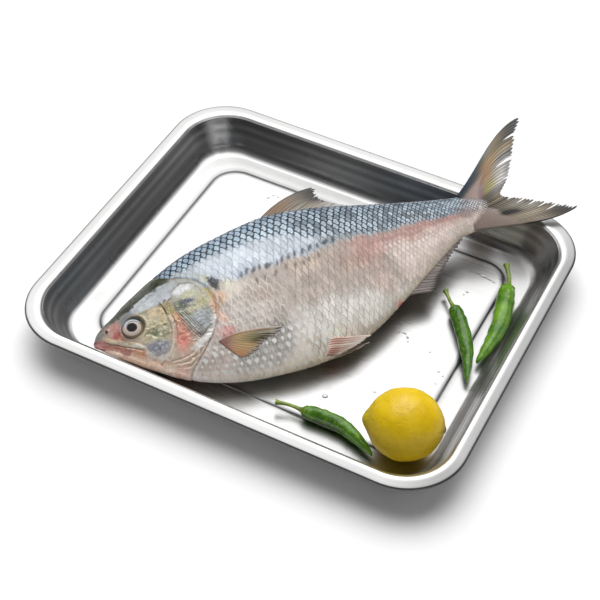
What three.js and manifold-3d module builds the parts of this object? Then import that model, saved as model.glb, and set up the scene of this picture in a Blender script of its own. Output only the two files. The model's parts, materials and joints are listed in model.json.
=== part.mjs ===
import * as THREE from "three";
import { mergeVertices } from "three/addons/utils/BufferGeometryUtils.js";
import Module from "manifold-3d";

// A whole silver fish of the herring family lying in a shallow steel tray, with a lemon and green chillies.
// Millimetres. While it is built, X runs along the tray's long side, Y goes back, and Z = 0 is the rim's top,
// with X = Y = 0 at the tray's middle.

// --- driving dimensions -------------------------------------------------------------------------------

const TRAY_LENGTH = 400;
const TRAY_WIDTH = 342;
const TRAY_DEPTH = 32;
const SHEET = 0.6;
const PANEL_RISE = 1.2;
const BEAD_RADIUS = 1.7;
const TRAY_CORNER_RADIUS = 53;
const CORNER_STEPS = 9;

const FISH_LENGTH = 376;
const FISH_HEADING = 52.45;
const FISH_SNOUT = [-121.3, -147.9];
const THICKEST = 0.56;
const BACK_ROUNDING = 0.85;
const KEEL_ROUNDING = 1.25;
const FIN_EDGE = 1.2;
const EYE_RADIUS = 8.6;
const EYE_PLACE = [30.5, -5.7];

const LEMON_DIAMETER = 59.5;
const LEMON_LENGTH = 67;
const LEMON_CENTRE = [143.2, -108.5];
const LEMON_HEADING = 18;

// Distance from the snout, back above the axis, keel below the axis, half thickness.
const BODY = [
  [0, 2.5, -2.5, 3.2],
  [3, 7, -6, 5],
  [8, 10.5, -12.5, 8],
  [15, 13.8, -20.5, 10.8],
  [30, 22, -37, 15.5],
  [60, 36.5, -64, 20.5],
  [95, 49.5, -81.3, 24.5],
  [140, 58.3, -90, 27],
  [180, 62, -90.3, 26.5],
  [220, 57, -80, 23.3],
  [260, 45.5, -60.5, 18.7],
  [300, 33, -39, 13.4],
  [335, 20.5, -22, 9.3],
  [360, 15, -21, 6],
  [376, 10, -17, 2],
];

// Distance from the snout, height of the axis, sideways tilt of the middle plane in degrees.
const POSE = [
  [-10, -12, 6],
  [0, -11, 7],
  [60, -5.5, 9],
  [120, -2, 9.1],
  [180, -0.6, 9.3],
  [240, -0.4, 9.5],
  [300, 1, 12],
  [340, 5, 16],
  [372, 10.5, 19],
  [420, 21, 22],
  [480, 36, 24],
];

// The contents rest a hair above the raised panel, and the fish's fins lie under its soft side.
const CLEARANCE = 0.4;
const FLOOR = -TRAY_DEPTH;
const REST = FLOOR + PANEL_RISE + CLEARANCE;
const PRESSED = REST + 0.3;

// --- small helpers ------------------------------------------------------------------------------------

const wasm = await Module();
wasm.setup();

const rad = THREE.MathUtils.degToRad;
const lerp = THREE.MathUtils.lerp;

// A smooth line through the rows of a table: column against the first column.
function curve(rows, column) {
  const slope = (i) => {
    const a = rows[Math.max(i - 1, 0)];
    const b = rows[Math.min(i + 1, rows.length - 1)];
    return (b[column] - a[column]) / (b[0] - a[0]);
  };
  return (x) => {
    let i = 0;
    while (i < rows.length - 2 && x > rows[i + 1][0]) i += 1;
    const h = rows[i + 1][0] - rows[i][0];
    const t = (x - rows[i][0]) / h;
    const a = rows[i][column];
    const b = rows[i + 1][column];
    const c = 3 * (b - a) - h * (2 * slope(i) + slope(i + 1));
    const d = 2 * (a - b) + h * (slope(i) + slope(i + 1));
    return a + t * (h * slope(i) + t * (c + t * d));
  };
}

// A point on a path given as rows of coordinates, t from 0 to 1 in equal steps between rows.
function along(rows, t) {
  const keyed = rows.map((row, i) => [i / (rows.length - 1), ...row]);
  return rows[0].map((_, k) => curve(keyed, k + 1)(t));
}

// Rings of points joined into one closed skin, each end shut by a fan to its middle point.
function skin(rings) {
  const n = rings[0].length;
  const positions = rings.flat().flatMap((p) => [p.x, p.y, p.z]);
  const index = [];
  for (let i = 0; i < rings.length - 1; i += 1) {
    for (let j = 0; j < n; j += 1) {
      const a = i * n + j;
      const b = i * n + ((j + 1) % n);
      index.push(a, b, a + n, b, b + n, a + n);
    }
  }
  const cap = (ring, start, flip) => {
    const middle = ring.reduce((sum, p) => sum.add(p), new THREE.Vector3()).divideScalar(n);
    const centre = positions.length / 3;
    positions.push(middle.x, middle.y, middle.z);
    for (let j = 0; j < n; j += 1) {
      const a = start + j;
      const b = start + ((j + 1) % n);
      if (flip) index.push(centre, a, b);
      else index.push(centre, b, a);
    }
  };
  cap(rings[0], 0, false);
  cap(rings[rings.length - 1], (rings.length - 1) * n, true);
  const geometry = new THREE.BufferGeometry();
  geometry.setAttribute("position", new THREE.Float32BufferAttribute(positions, 3));
  geometry.setIndex(index);
  return geometry;
}

// A closed skin as a solid, its faces turned outwards whichever way round the skin was drawn.
function toManifold(geometry) {
  const bare = new THREE.BufferGeometry();
  bare.setAttribute("position", geometry.getAttribute("position").clone());
  bare.setIndex(geometry.getIndex());
  const merged = mergeVertices(bare, 1e-4);
  const vertProperties = new Float32Array(merged.getAttribute("position").array);
  const triVerts = new Uint32Array(merged.getIndex().array);
  const solid = new wasm.Manifold(new wasm.Mesh({ numProp: 3, vertProperties, triVerts }));
  if (solid.volume() > 0) return solid;
  triVerts.reverse();
  return new wasm.Manifold(new wasm.Mesh({ numProp: 3, vertProperties, triVerts }));
}

function toGeometry(manifold) {
  const mesh = manifold.getMesh();
  const geometry = new THREE.BufferGeometry();
  geometry.setAttribute("position", new THREE.Float32BufferAttribute(mesh.vertProperties, 3));
  geometry.setIndex(Array.from(mesh.triVerts));
  return geometry;
}

function named(name, geometry, color, roughness, metalness) {
  geometry.computeVertexNormals();
  const mesh = new THREE.Mesh(geometry, new THREE.MeshStandardMaterial({ color, roughness, metalness }));
  mesh.name = name;
  return mesh;
}

// --- tray ---------------------------------------------------------------------------------------------

// A rounded rectangle that lies inside the tray's outline by the given inset.
function trayLoop(inset, z, radius) {
  const halfX = TRAY_LENGTH / 2 - inset;
  const halfY = TRAY_WIDTH / 2 - inset;
  const ring = [];
  for (let corner = 0; corner < 4; corner += 1) {
    const signX = corner === 0 || corner === 3 ? 1 : -1;
    const signY = corner < 2 ? 1 : -1;
    for (let k = 0; k <= CORNER_STEPS; k += 1) {
      const angle = (corner + k / CORNER_STEPS) * (Math.PI / 2);
      const x = signX * (halfX - radius) + radius * Math.cos(angle);
      const y = signY * (halfY - radius) + radius * Math.sin(angle);
      ring.push(new THREE.Vector3(x, y, z));
    }
  }
  return ring;
}

// The pressed sheet's top side from the raised panel out to the rim: inset, height, corner radius.
const TRAY_TOP = [
  [54.5, FLOOR + PANEL_RISE, 22],
  [52.5, FLOOR + PANEL_RISE * 0.72, 24],
  [50, FLOOR, 26],
  [35, FLOOR, 33],
  [31, FLOOR + 0.8, 35],
  [27.6, FLOOR + 3, 36.5],
  [25.2, FLOOR + 6.2, 37.5],
  [23.6, FLOOR + 10, 38],
  [14.9, -4, 42],
  [13.6, -1.6, 42.5],
  [11.4, -0.2, 43.5],
  [9.6, 0, 44.5],
  [1.9, 0, 51],
];

// The rolled bead turns under the rim's outer edge.
function beadLoops() {
  const loops = [];
  for (let degrees = 80; degrees >= -170; degrees -= 25) {
    const inset = BEAD_RADIUS * (1 - Math.cos(rad(degrees)));
    loops.push([inset, BEAD_RADIUS * (Math.sin(rad(degrees)) - 1), TRAY_CORNER_RADIUS - inset]);
  }
  return loops;
}

// The sheet's underside follows its top side at the sheet's thickness.
function trayGeometry() {
  const under = TRAY_TOP.slice(0, -1).map((row, i) => {
    const before = TRAY_TOP[Math.max(i - 1, 0)];
    const after = TRAY_TOP[i + 1];
    const run = Math.hypot(after[0] - before[0], after[1] - before[1]);
    const outwards = (SHEET * (after[1] - before[1])) / run;
    const down = (SHEET * (before[0] - after[0])) / run;
    return [row[0] - outwards, row[1] - down, row[2] + outwards];
  });
  const beadMeetsSheet = [BEAD_RADIUS * 2 + 0.3, -SHEET, TRAY_CORNER_RADIUS - 4];
  const rows = [...TRAY_TOP, ...beadLoops(), beadMeetsSheet, ...under.reverse()];
  return skin(rows.map((row) => trayLoop(...row)).reverse());
}

// --- fish ---------------------------------------------------------------------------------------------

const back = curve(BODY, 1);
const keel = curve(BODY, 2);
const thickness = curve(BODY, 3);
const lift = curve(POSE, 1);
const tilt = curve(POSE, 2);

const level = (s) => lerp(keel(s), back(s), THICKEST);

// Half thickness of the body at a distance from the snout and a height above the fish's axis.
function flank(s, d) {
  const middle = level(s);
  const span = d >= middle ? back(s) - middle : middle - keel(s);
  const reach = Math.min(Math.abs(d - middle) / span, 1);
  const rounding = d >= middle ? BACK_ROUNDING : KEEL_ROUNDING;
  return thickness(s) * (1 - reach * reach) ** (rounding / 2);
}

// The fish's own directions: s along the body, d towards the back fin, w out of the upper flank.
// Nothing goes lower than the given height, so the soft side lies flat on the tray.
function place(s, d, w, lowest = PRESSED) {
  const lean = rad(tilt(s));
  const across = d * Math.cos(lean) - w * Math.sin(lean);
  const heading = rad(FISH_HEADING);
  const x = FISH_SNOUT[0] + s * Math.cos(heading) - across * Math.sin(heading);
  const y = FISH_SNOUT[1] + s * Math.sin(heading) + across * Math.cos(heading);
  const z = lift(s) + d * Math.sin(lean) + w * Math.cos(lean);
  return new THREE.Vector3(x, y, Math.max(z, lowest));
}

function bodyGeometry() {
  const stations = 44;
  const around = 26;
  const rings = [];
  for (let i = 0; i <= stations; i += 1) {
    const s = FISH_LENGTH * (i / stations) ** 1.2;
    const ring = [];
    for (let j = 0; j < around; j += 1) {
      const angle = (j / around) * Math.PI * 2;
      const rise = Math.sin(angle);
      const d = level(s) + rise * (rise >= 0 ? back(s) - level(s) : level(s) - keel(s));
      ring.push(place(s, d, Math.sign(Math.cos(angle)) * flank(s, d)));
    }
    rings.push(ring);
  }
  return skin(rings.reverse());
}

// A thin slab whose middle sheet is at(t, r), which gives [s, d, w, thickness].
// Where it is under the fish it lies on the tray.
function slab(at, acrossSteps, alongSteps) {
  const rings = [];
  for (let i = 0; i <= acrossSteps; i += 1) {
    const upper = [];
    const lower = [];
    for (let j = 0; j <= alongSteps; j += 1) {
      const [s, d, w, thick] = at(i / acrossSteps, j / alongSteps);
      upper.push(place(s, d, w + thick / 2, REST + thick));
      lower.unshift(place(s, d, w - thick / 2, REST));
    }
    rings.push([...upper, ...lower]);
  }
  return skin(rings);
}

// Rays from a root line to an edge line, thinning towards the edge and bowed sideways by bow(t, r).
function fin(root, edge, rootThickness, bow, side) {
  return (t, r) => {
    const a = along(root, t);
    const b = along(edge, t);
    const s = lerp(a[0], b[0], r);
    const d = lerp(a[1], b[1], r) + bow(t, r);
    return [s, d, side(s, d, t, r), lerp(rootThickness, FIN_EDGE, r)];
  };
}

const flat = () => 0;

function tailFin() {
  const root = [[350, 17.5], [351, 9], [351, -2], [351, -12], [350, -20]];
  const edge = [
    [435, 59.5], [423, 45], [411.5, 27.5], [399, 11.5], [388, 1],
    [401, -9], [416, -19.5], [431, -31], [446, -41.2],
  ];
  const bow = (t, r) => (t < 0.5 ? 52 : 34) * (1 - 2 * t) * r * r * (1 - r);
  return slab(fin(root, edge, 7, bow, flat), 24, 9);
}

function backFin() {
  const root = [[163, 54], [186, 56], [210, 53], [233, 47], [256, 40]];
  const edge = [[239, 80.5], [236.5, 71.5], [240, 64], [250, 55], [265, 46]];
  const bow = (t, r) => 34 * (1 - t) ** 2 * r * (1 - r);
  return slab(fin(root, edge, 3, bow, flat), 12, 6);
}

function ventFin() {
  const root = [[258, -56], [276, -46], [296, -36], [316, -25], [334, -17]];
  const edge = [[292, -61.5], [299, -51], [309, -42], [321, -33.5], [338, -23]];
  return slab(fin(root, edge, 2.4, flat, flat), 12, 4);
}

// A breast fin and a belly fin lie against each flank; sign is +1 on the upper flank.
function breastFin(sign) {
  const root = [[86.5, -48], [89, -52], [91.5, -57], [93.5, -62]];
  const edge = [[146.7, -59.1], [131, -63.8], [117, -67], [101.5, -69]];
  const side = (s, d, t, r) => sign * (flank(s, d) - 0.4 + 1.6 * Math.sin(r * Math.PI * 0.5));
  return slab(fin(root, edge, 2.6, flat, side), 8, 8);
}

function bellyFin(sign) {
  const root = [[168, -80], [172, -84], [175, -87.5]];
  const edge = [[213.5, -87.5], [205, -90.5], [190, -92.5]];
  const side = (s, d, t, r) => sign * lerp(flank(s, d) - 0.6, 4.5, r);
  return slab(fin(root, edge, 2.4, flat, side), 5, 6);
}

// The cutter for a shallow groove that follows a line drawn on the flank.
function groove(line, width, depth, sign) {
  const cutter = 4;
  const at = (t, r) => {
    const [s, d] = along(line, t);
    const [s2, d2] = along(line, Math.min(t + 0.01, 1));
    const [s1, d1] = along(line, Math.max(t - 0.01, 0));
    const run = Math.hypot(s2 - s1, d2 - d1);
    const off = width * (r - 0.5);
    const point = [s - (off * (d2 - d1)) / run, d + (off * (s2 - s1)) / run];
    return [...point, sign * (flank(s, d) - depth + cutter / 2), cutter];
  };
  return slab(at, 12, 1);
}

const MOUTH_LINE = [[-1, 1], [8, -7], [17, -15], [32, -29]];
const GILL_LINE = [[74, 27], [88, 15.5], [96, 0], [98, -18], [95, -31], [88.5, -40], [80, -48], [66, -58]];

function eyeball(sign) {
  const ball = new THREE.SphereGeometry(EYE_RADIUS, 20, 12);
  ball.scale(1, 1, 0.42);
  const centre = place(...EYE_PLACE, sign * 13.8);
  const out = place(...EYE_PLACE, sign * 15.8).sub(centre).normalize();
  ball.applyQuaternion(new THREE.Quaternion().setFromUnitVectors(new THREE.Vector3(0, 0, 1), out));
  ball.translate(centre.x, centre.y, centre.z);
  return ball;
}

function fishGeometry() {
  const added = [tailFin(), backFin(), ventFin()];
  const cut = [];
  for (const sign of [1, -1]) {
    added.push(breastFin(sign), bellyFin(sign), eyeball(sign));
    cut.push(groove(MOUTH_LINE, 1.4, 1.6, sign), groove(GILL_LINE, 1.6, 1.1, sign));
  }
  let fish = toManifold(bodyGeometry());
  for (const geometry of cut) fish = fish.subtract(toManifold(geometry));
  for (const geometry of added) fish = fish.add(toManifold(geometry));
  return toGeometry(fish);
}

// --- lemon --------------------------------------------------------------------------------------------

// A solid of revolution with a nipple at one end and a blunt stalk end.
function lemonGeometry() {
  const radius = LEMON_DIAMETER / 2;
  const points = [];
  const steps = 22;
  for (let i = 0; i <= steps; i += 1) {
    const angle = Math.PI * (i / steps);
    const x = -(LEMON_LENGTH / 2 - 3.4) * Math.cos(angle);
    const nipple = -5.2 * Math.exp(-((angle / 0.3) ** 2));
    const stalkEnd = 1.6 * Math.exp(-(((Math.PI - angle) / 0.35) ** 2));
    points.push(new THREE.Vector2(radius * Math.sin(angle) ** 0.97, x + nipple + stalkEnd));
  }
  points[0].x = 0;
  points[steps].x = 0;
  const lemon = new THREE.LatheGeometry(points, 28);
  lemon.rotateZ(-Math.PI / 2);
  return toGeometry(toManifold(lemon));
}

// --- chillies -----------------------------------------------------------------------------------------

// A stem, a cap and a tapering pod as one skin along a curved path: share of length, radius over the widest.
const CHILLI_PROFILE = [
  [0, 0.3],
  [0.04, 0.27],
  [0.2, 0.25],
  [0.265, 0.34],
  [0.285, 0.62],
  [0.31, 0.8],
  [0.37, 0.95],
  [0.46, 1],
  [0.62, 0.98],
  [0.76, 0.87],
  [0.88, 0.63],
  [0.95, 0.4],
  [0.985, 0.22],
  [1, 0.08],
];

function chilliGeometry(points, widest) {
  const path = new THREE.CatmullRomCurve3(points.map((p) => new THREE.Vector3(...p)));
  const steps = 26;
  const around = 14;
  const frames = path.computeFrenetFrames(steps, false);
  const radius = curve(CHILLI_PROFILE, 1);
  const rings = [];
  for (let i = 0; i <= steps; i += 1) {
    const centre = path.getPointAt(i / steps);
    const ring = [];
    for (let j = 0; j < around; j += 1) {
      const angle = (j / around) * Math.PI * 2;
      const size = widest * radius(i / steps);
      const offset = frames.normals[i].clone().multiplyScalar(size * Math.cos(angle));
      offset.addScaledVector(frames.binormals[i], size * Math.sin(angle));
      ring.push(centre.clone().add(offset));
    }
    rings.push(ring);
  }
  return toGeometry(toManifold(skin(rings)));
}

// --- whole object -------------------------------------------------------------------------------------

const tray = named("tray", toGeometry(toManifold(trayGeometry())), 0xc4c6c9, 0.22, 1.0);
const fish = named("fish", fishGeometry(), 0xb9c3cc, 0.32, 0.0);

const lemon = named("lemon", lemonGeometry(), 0xe8c21a, 0.4, 0.0);
lemon.position.set(...LEMON_CENTRE, REST + LEMON_DIAMETER / 2);
lemon.rotation.z = rad(LEMON_HEADING);

// The chillies' middle lines, from the stem's end to the pod's tip.
const frontPath = [
  [34.5, -121.9, REST + 8.5], [46.3, -118.4, REST + 7.5], [59, -117.8, REST + 6.7],
  [74, -116.1, REST + 6.5], [88, -116, REST + 6.4], [101, -119, REST + 6.1],
  [114, -124.3, REST + 5.2], [126.5, -130.8, REST + 4],
];
const middlePath = [
  [106.5, 60.7, REST + 7.2], [115.1, 51.1, REST + 7.1], [124.4, 41.8, REST + 7],
  [135, 29.3, REST + 6.9], [145.9, 12.9, REST + 6.8], [154.5, -2.5, REST + 6.2],
  [163.3, -24.8, REST + 4.6],
];
const rightPath = [
  [142.5, 114.3, REST + 9], [151, 99.2, REST + 8.7], [155.2, 83.8, REST + 8.5],
  [160, 66, REST + 8.4], [164.4, 44, REST + 8.2], [165.2, 22.7, REST + 7.2],
  [162.5, -2.2, REST + 4.9],
];
const chilliFront = named("chilli_front", chilliGeometry(frontPath, 6.3), 0x2f6b1e, 0.3, 0.0);
const chilliMiddle = named("chilli_middle", chilliGeometry(middlePath, 6.5), 0x34781f, 0.3, 0.0);
const chilliRight = named("chilli_right", chilliGeometry(rightPath, 8), 0x3f8a26, 0.3, 0.0);

const whole = new THREE.Group();
whole.name = "fish_in_tray";
whole.add(tray, fish, lemon, chilliFront, chilliMiddle, chilliRight);

// The finished object stands on Z = 0 with its origin under the middle of its bounding box.
whole.updateMatrixWorld(true);
const extent = new THREE.Box3().setFromObject(whole, true);
const centre = extent.getCenter(new THREE.Vector3());
whole.position.set(-centre.x, -centre.y, -extent.min.z);

export default whole;
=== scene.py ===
"""Looks of a whole hilsa fish in its steel tray, with a lemon and three green chillies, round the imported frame.

Drawn in millimetres in the tray's own frame: X along its long side, Y to the side that the tail crosses, Z up,
with the origin in the middle of the rim's plane. to_row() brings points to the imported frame, in metres.
"""
import json
import math

import bmesh
import bpy
import numpy as np
from mathutils import Matrix, Vector

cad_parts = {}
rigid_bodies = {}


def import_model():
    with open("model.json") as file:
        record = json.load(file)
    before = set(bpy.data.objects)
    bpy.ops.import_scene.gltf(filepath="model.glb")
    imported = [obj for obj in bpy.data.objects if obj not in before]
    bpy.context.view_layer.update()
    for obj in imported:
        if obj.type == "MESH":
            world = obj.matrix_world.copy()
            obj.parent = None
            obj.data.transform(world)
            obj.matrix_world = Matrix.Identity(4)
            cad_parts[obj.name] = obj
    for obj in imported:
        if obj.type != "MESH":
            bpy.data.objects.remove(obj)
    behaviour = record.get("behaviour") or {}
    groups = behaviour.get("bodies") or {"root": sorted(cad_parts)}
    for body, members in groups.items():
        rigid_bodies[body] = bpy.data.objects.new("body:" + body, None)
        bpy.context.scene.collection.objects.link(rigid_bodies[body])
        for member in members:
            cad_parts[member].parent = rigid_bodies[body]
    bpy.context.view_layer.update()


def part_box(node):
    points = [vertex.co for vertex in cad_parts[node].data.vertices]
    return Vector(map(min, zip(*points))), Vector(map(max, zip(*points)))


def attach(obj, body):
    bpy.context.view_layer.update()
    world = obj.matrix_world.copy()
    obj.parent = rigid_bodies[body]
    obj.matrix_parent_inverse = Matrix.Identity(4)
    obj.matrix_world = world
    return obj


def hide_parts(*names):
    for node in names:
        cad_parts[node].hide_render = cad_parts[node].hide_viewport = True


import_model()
tray_low, tray_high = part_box("tray")
TRAY_PLACE = np.array([(tray_low.x + tray_high.x) / 2, (tray_low.y + tray_high.y) / 2, tray_high.z])

MM = 0.001
TRAY_LENGTH, TRAY_WIDTH, TRAY_DEPTH = 400.0, 342.0, 32.0
TRAY_CORNER = 53.0
SHEET = 0.6
BEAD_RADIUS = 1.7
# height of the floor's raised panel, and the least heights of what lies on it and of the fish's skin
PANEL_RISE = 1.2
PANEL = -TRAY_DEPTH + PANEL_RISE
REST = PANEL + 0.4
PRESSED = REST + 0.3
# the least height of points that may lie anywhere
FREE = -1e9


def to_row(points):
    """Points of the tray's frame in mm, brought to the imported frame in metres."""
    return np.asarray(points, float) * MM + TRAY_PLACE


def smooth(low, high, x):
    """0 below low, rising to 1 at high."""
    t = np.clip((np.asarray(x, float) - low) / (high - low), 0, 1)
    return t * t * (3 - 2 * t)


def fade(low, high, x):
    """1 below low, falling to 0 at high."""
    return 1 - smooth(low, high, x)


def lerp(a, b, t):
    return a + (b - a) * t


def curve(rows, x, column=1):
    """A smooth line through the rows' values, held at both ends, as the part's source draws it."""
    rows = np.asarray(rows, float)
    keys, values = rows[:, 0], rows[:, column]
    low = np.maximum(np.arange(len(keys)) - 1, 0)
    high = np.minimum(np.arange(len(keys)) + 1, len(keys) - 1)
    slope = (values[high] - values[low]) / (keys[high] - keys[low])
    i = np.clip(np.searchsorted(keys, x) - 1, 0, len(keys) - 2)
    gap = keys[i + 1] - keys[i]
    t = np.clip((x - keys[i]) / gap, 0, 1)
    rise = (3 - 2 * t) * t * t
    return (1 - rise) * values[i] + rise * values[i + 1] + gap * (
        t * (1 - t) ** 2 * slope[i] - t * t * (1 - t) * slope[i + 1])


def along(rows, t):
    """Points on a path given in equal steps, t from 0 to 1."""
    rows = np.asarray(rows, float)
    keyed = np.column_stack([np.linspace(0, 1, len(rows)), rows])
    return [curve(keyed, t, k + 1) for k in range(rows.shape[1])]


# --- making and finishing pieces ----------------------------------------------------------------------------


def lay_down_tools():
    """Nothing selected, so that the next operator works on the new piece alone."""
    if bpy.context.mode != "OBJECT":
        bpy.ops.object.mode_set(mode="OBJECT")
    for o in bpy.context.scene.objects:
        o.select_set(False)
    bpy.context.view_layer.objects.active = None


def take(piece):
    lay_down_tools()
    piece.select_set(True)
    bpy.context.view_layer.objects.active = piece


def keep_values(piece, key, values):
    """A number on each point, for the piece's material."""
    piece.data.attributes.new(key, "FLOAT", "POINT").data.foreach_set("value", values)


def mesh_piece(name, points, faces, values):
    """A smooth-shaded piece from points in mm and faces, with named values for its material on each point."""
    mesh = bpy.data.meshes.new(name)
    mesh.from_pydata([tuple(p) for p in to_row(points)], [], [tuple(int(i) for i in f) for f in faces])
    piece = bpy.data.objects.new(name, mesh)
    for key, value in values.items():
        value = np.asarray(value, np.float32)
        if value.ndim == 1:
            keep_values(piece, key, value)
        elif key.endswith("place"):
            mesh.attributes.new(key, "FLOAT_VECTOR", "POINT").data.foreach_set("vector", value.ravel())
        else:
            filled = np.column_stack([value, np.ones(len(value), np.float32)]).astype(np.float32)
            mesh.attributes.new(key, "FLOAT_COLOR", "POINT").data.foreach_set("color", filled.ravel())
    mesh.validate()
    bpy.context.scene.collection.objects.link(piece)
    take(piece)
    bpy.ops.object.shade_smooth()
    return piece


def squeeze(piece, scale):
    """Resizes a round piece along its own axes, smooth-shaded and with its place applied."""
    bpy.ops.object.mode_set(mode="EDIT")
    bpy.ops.mesh.select_all(action="SELECT")
    bpy.ops.transform.resize(value=scale, orient_type="LOCAL")
    bpy.ops.object.mode_set(mode="OBJECT")
    bpy.ops.object.shade_smooth()
    bpy.ops.object.transform_apply(location=True, rotation=True, scale=True)


def face_outwards():
    """Turns all faces of the piece in hand outwards, and leaves edit mode."""
    bpy.ops.mesh.select_all(action="SELECT")
    bpy.ops.mesh.normals_make_consistent(inside=False)
    bpy.ops.object.mode_set(mode="OBJECT")


def strip_faces(rows, columns):
    """Quads between neighbouring rings of points."""
    i, j = np.arange(rows - 1)[:, None] * columns, np.arange(columns)[None, :]
    k = (j + 1) % columns
    quads = np.stack([i + j, i + k, i + columns + k, i + columns + j], -1)
    return [tuple(quad) for quad in quads.reshape(-1, 4)]


def shut_ends(points, faces, columns):
    """Closes the first and the last ring of points with fans to their middles."""
    for start, flip in ((0, False), (len(points) - columns, True)):
        ring = list(range(start, start + columns))
        centre = len(points)
        points.append(np.mean([points[i] for i in ring], axis=0))
        for a, b in zip(ring, ring[1:] + ring[:1]):
            faces.append((centre, b, a) if flip else (centre, a, b))


def with_ends(values):
    """Values on rings of points in one list, with those of the two middles that shut_ends adds."""
    rows, columns = values.shape[:2]
    values = values.reshape(rows * columns, -1)
    values = np.vstack([values, values[:columns].mean(0), values[-columns:].mean(0)])
    return values[:, 0] if values.shape[1] == 1 else values


def finish(piece, finish_material, stands_for):
    """Applies place and modifiers, gives the finish, and fastens the piece to the part's one body."""
    take(piece)
    bpy.ops.object.transform_apply(location=True, rotation=True, scale=True)
    for modifier in list(piece.modifiers):
        bpy.ops.object.modifier_apply(modifier=modifier.name)
    piece.data.materials.clear()
    piece.data.materials.append(finish_material)
    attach(piece, "root")
    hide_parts(*stands_for)
    lay_down_tools()
    return piece


def srgb(*colour):
    """A colour as the eye's 0 to 255 values, brought to the linear ones that shaders use."""
    c = np.asarray(colour, float) / 255
    return np.where(c <= 0.04045, c / 12.92, ((c + 0.055) / 1.055) ** 2.4)


class Nodes:
    """A tree of shading nodes. Its methods return sockets, and take sockets or plain numbers."""

    def __init__(self, tree):
        self.tree = tree

    def add(self, kind, inputs=None, out=0, **settings):
        node = self.tree.nodes.new("ShaderNode" + kind)
        for key, value in settings.items():
            setattr(node, key, value)
        for key, value in (inputs or {}).items():
            self.set(node.inputs[key], value)
        return node.outputs[out]

    def set(self, socket, value):
        if isinstance(value, bpy.types.NodeSocket):
            self.tree.links.new(value, socket)
        elif hasattr(value, "__len__") and len(value) == 3 and socket.type == "RGBA":
            socket.default_value = (*[float(v) for v in value], 1.0)
        else:
            socket.default_value = value

    def sum(self, how, a, b=0.0):
        return self.add("Math", {0: a, 1: b}, operation=how)

    def times(self, a, b):
        return self.sum("MULTIPLY", a, b)

    def plus(self, a, b):
        return self.sum("ADD", a, b)

    def minus(self, a, b):
        return self.sum("SUBTRACT", a, b)

    def rest(self, share):
        """What a share leaves of 1."""
        return self.minus(1.0, share)

    def larger(self, a, b):
        return self.sum("MAXIMUM", a, b)

    def ease(self, x, low, high, a=0.0, b=1.0):
        return self.add("MapRange", {"Value": x, "From Min": low, "From Max": high, "To Min": a, "To Max": b},
                        interpolation_type="SMOOTHSTEP")


class Finish(Nodes):
    """A material built from nodes."""

    def __init__(self, name, **constants):
        self.material = bpy.data.materials.new(name)
        self.material.use_nodes = True
        super().__init__(self.material.node_tree)
        self.shader = self.tree.nodes["Principled BSDF"]
        for key, value in constants.items():
            self.shader.inputs[key.replace("_", " ")].default_value = value

    def give(self, name, value):
        self.set(self.shader.inputs[name], value)

    def mix(self, share, a, b, how="MIX"):
        node = self.tree.nodes.new("ShaderNodeMix")
        node.data_type, node.blend_type = "RGBA", how
        for socket, value in ((0, share), (6, a), (7, b)):
            self.set(node.inputs[socket], value)
        return node.outputs[2]

    def toned(self, colour, tone):
        """The colour made brighter or darker by a number."""
        return self.mix(1.0, colour, self.add("CombineColor", {0: tone, 1: tone, 2: tone}), "MULTIPLY")

    def blend(self, share, a, b):
        return self.add("Mix", {0: share, 2: a, 3: b})

    def ramp(self, x, stops):
        node = self.tree.nodes.new("ShaderNodeValToRGB")
        self.set(node.inputs[0], x)
        for i, (place, colour) in enumerate(stops):
            stop = node.color_ramp.elements[i] if i < 2 else node.color_ramp.elements.new(place)
            stop.position, stop.color = place, (*[float(v) for v in colour], 1.0)
        return node.outputs[0]

    def object_place(self):
        return self.add("TexCoord", out=3)

    def value_of(self, name, out=2):
        """What the piece holds on its points; out is 0 for a colour, 1 for a vector and 2 for a number."""
        return self.add("Attribute", attribute_name=name, out=out)

    def stretch(self, place, scale, shift=(0, 0, 0)):
        return self.add("Mapping", {"Vector": place, "Scale": scale, "Location": shift})

    def noise(self, place, scale, detail=2.0, rough=0.5, swirl=0.0):
        return self.add("TexNoise", {"Vector": place, "Scale": scale, "Detail": detail, "Roughness": rough,
                                     "Distortion": swirl})

    def relief(self, height, strength, depth, under=None):
        inputs = {"Height": height, "Strength": strength, "Distance": depth}
        if under is not None:
            inputs["Normal"] = under
        return self.add("Bump", inputs)


# --- the fish's form ----------------------------------------------------------------------------------------
# s runs from the snout along the body, d towards the back fin and w out of the upper flank, all in mm.

FISH_LENGTH = 376.0
FISH_HEADING = math.radians(52.45)
FISH_SNOUT = (-121.3, -147.9)
THICKEST = 0.56
BACK_ROUNDING = 0.85
KEEL_ROUNDING = 1.25
# distance from the snout, height of the back, height of the keel, half thickness
BODY = [
    (0, 2.5, -2.5, 3.2), (3, 7, -6, 5), (8, 10.5, -12.5, 8), (15, 13.8, -20.5, 10.8), (30, 22, -37, 15.5),
    (60, 36.5, -64, 20.5), (95, 49.5, -81.3, 24.5), (140, 58.3, -90, 27), (180, 62, -90.3, 26.5),
    (220, 57, -80, 23.3), (260, 45.5, -60.5, 18.7), (300, 33, -39, 13.4), (335, 20.5, -22, 8.8),
    (352, 16, -20.5, 4.4), (364, 13, -17.5, 2.3), (372, 9, -13, 1.3), (376, 3, -7, 0.8),
]
# distance from the snout, lift of the middle plane, its lean in degrees
POSE = [
    (-10, -12, 6), (0, -11, 7), (60, -5.5, 9), (120, -2, 9.1), (180, -0.6, 9.3), (240, -0.4, 9.5),
    (300, 1, 12), (340, 5, 16), (372, 10.5, 19), (420, 21, 22), (480, 36, 24),
]


def back(s):
    return curve(BODY, s, 1)


def keel(s):
    return curve(BODY, s, 2)


def level(s):
    return lerp(keel(s), back(s), THICKEST)


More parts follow.
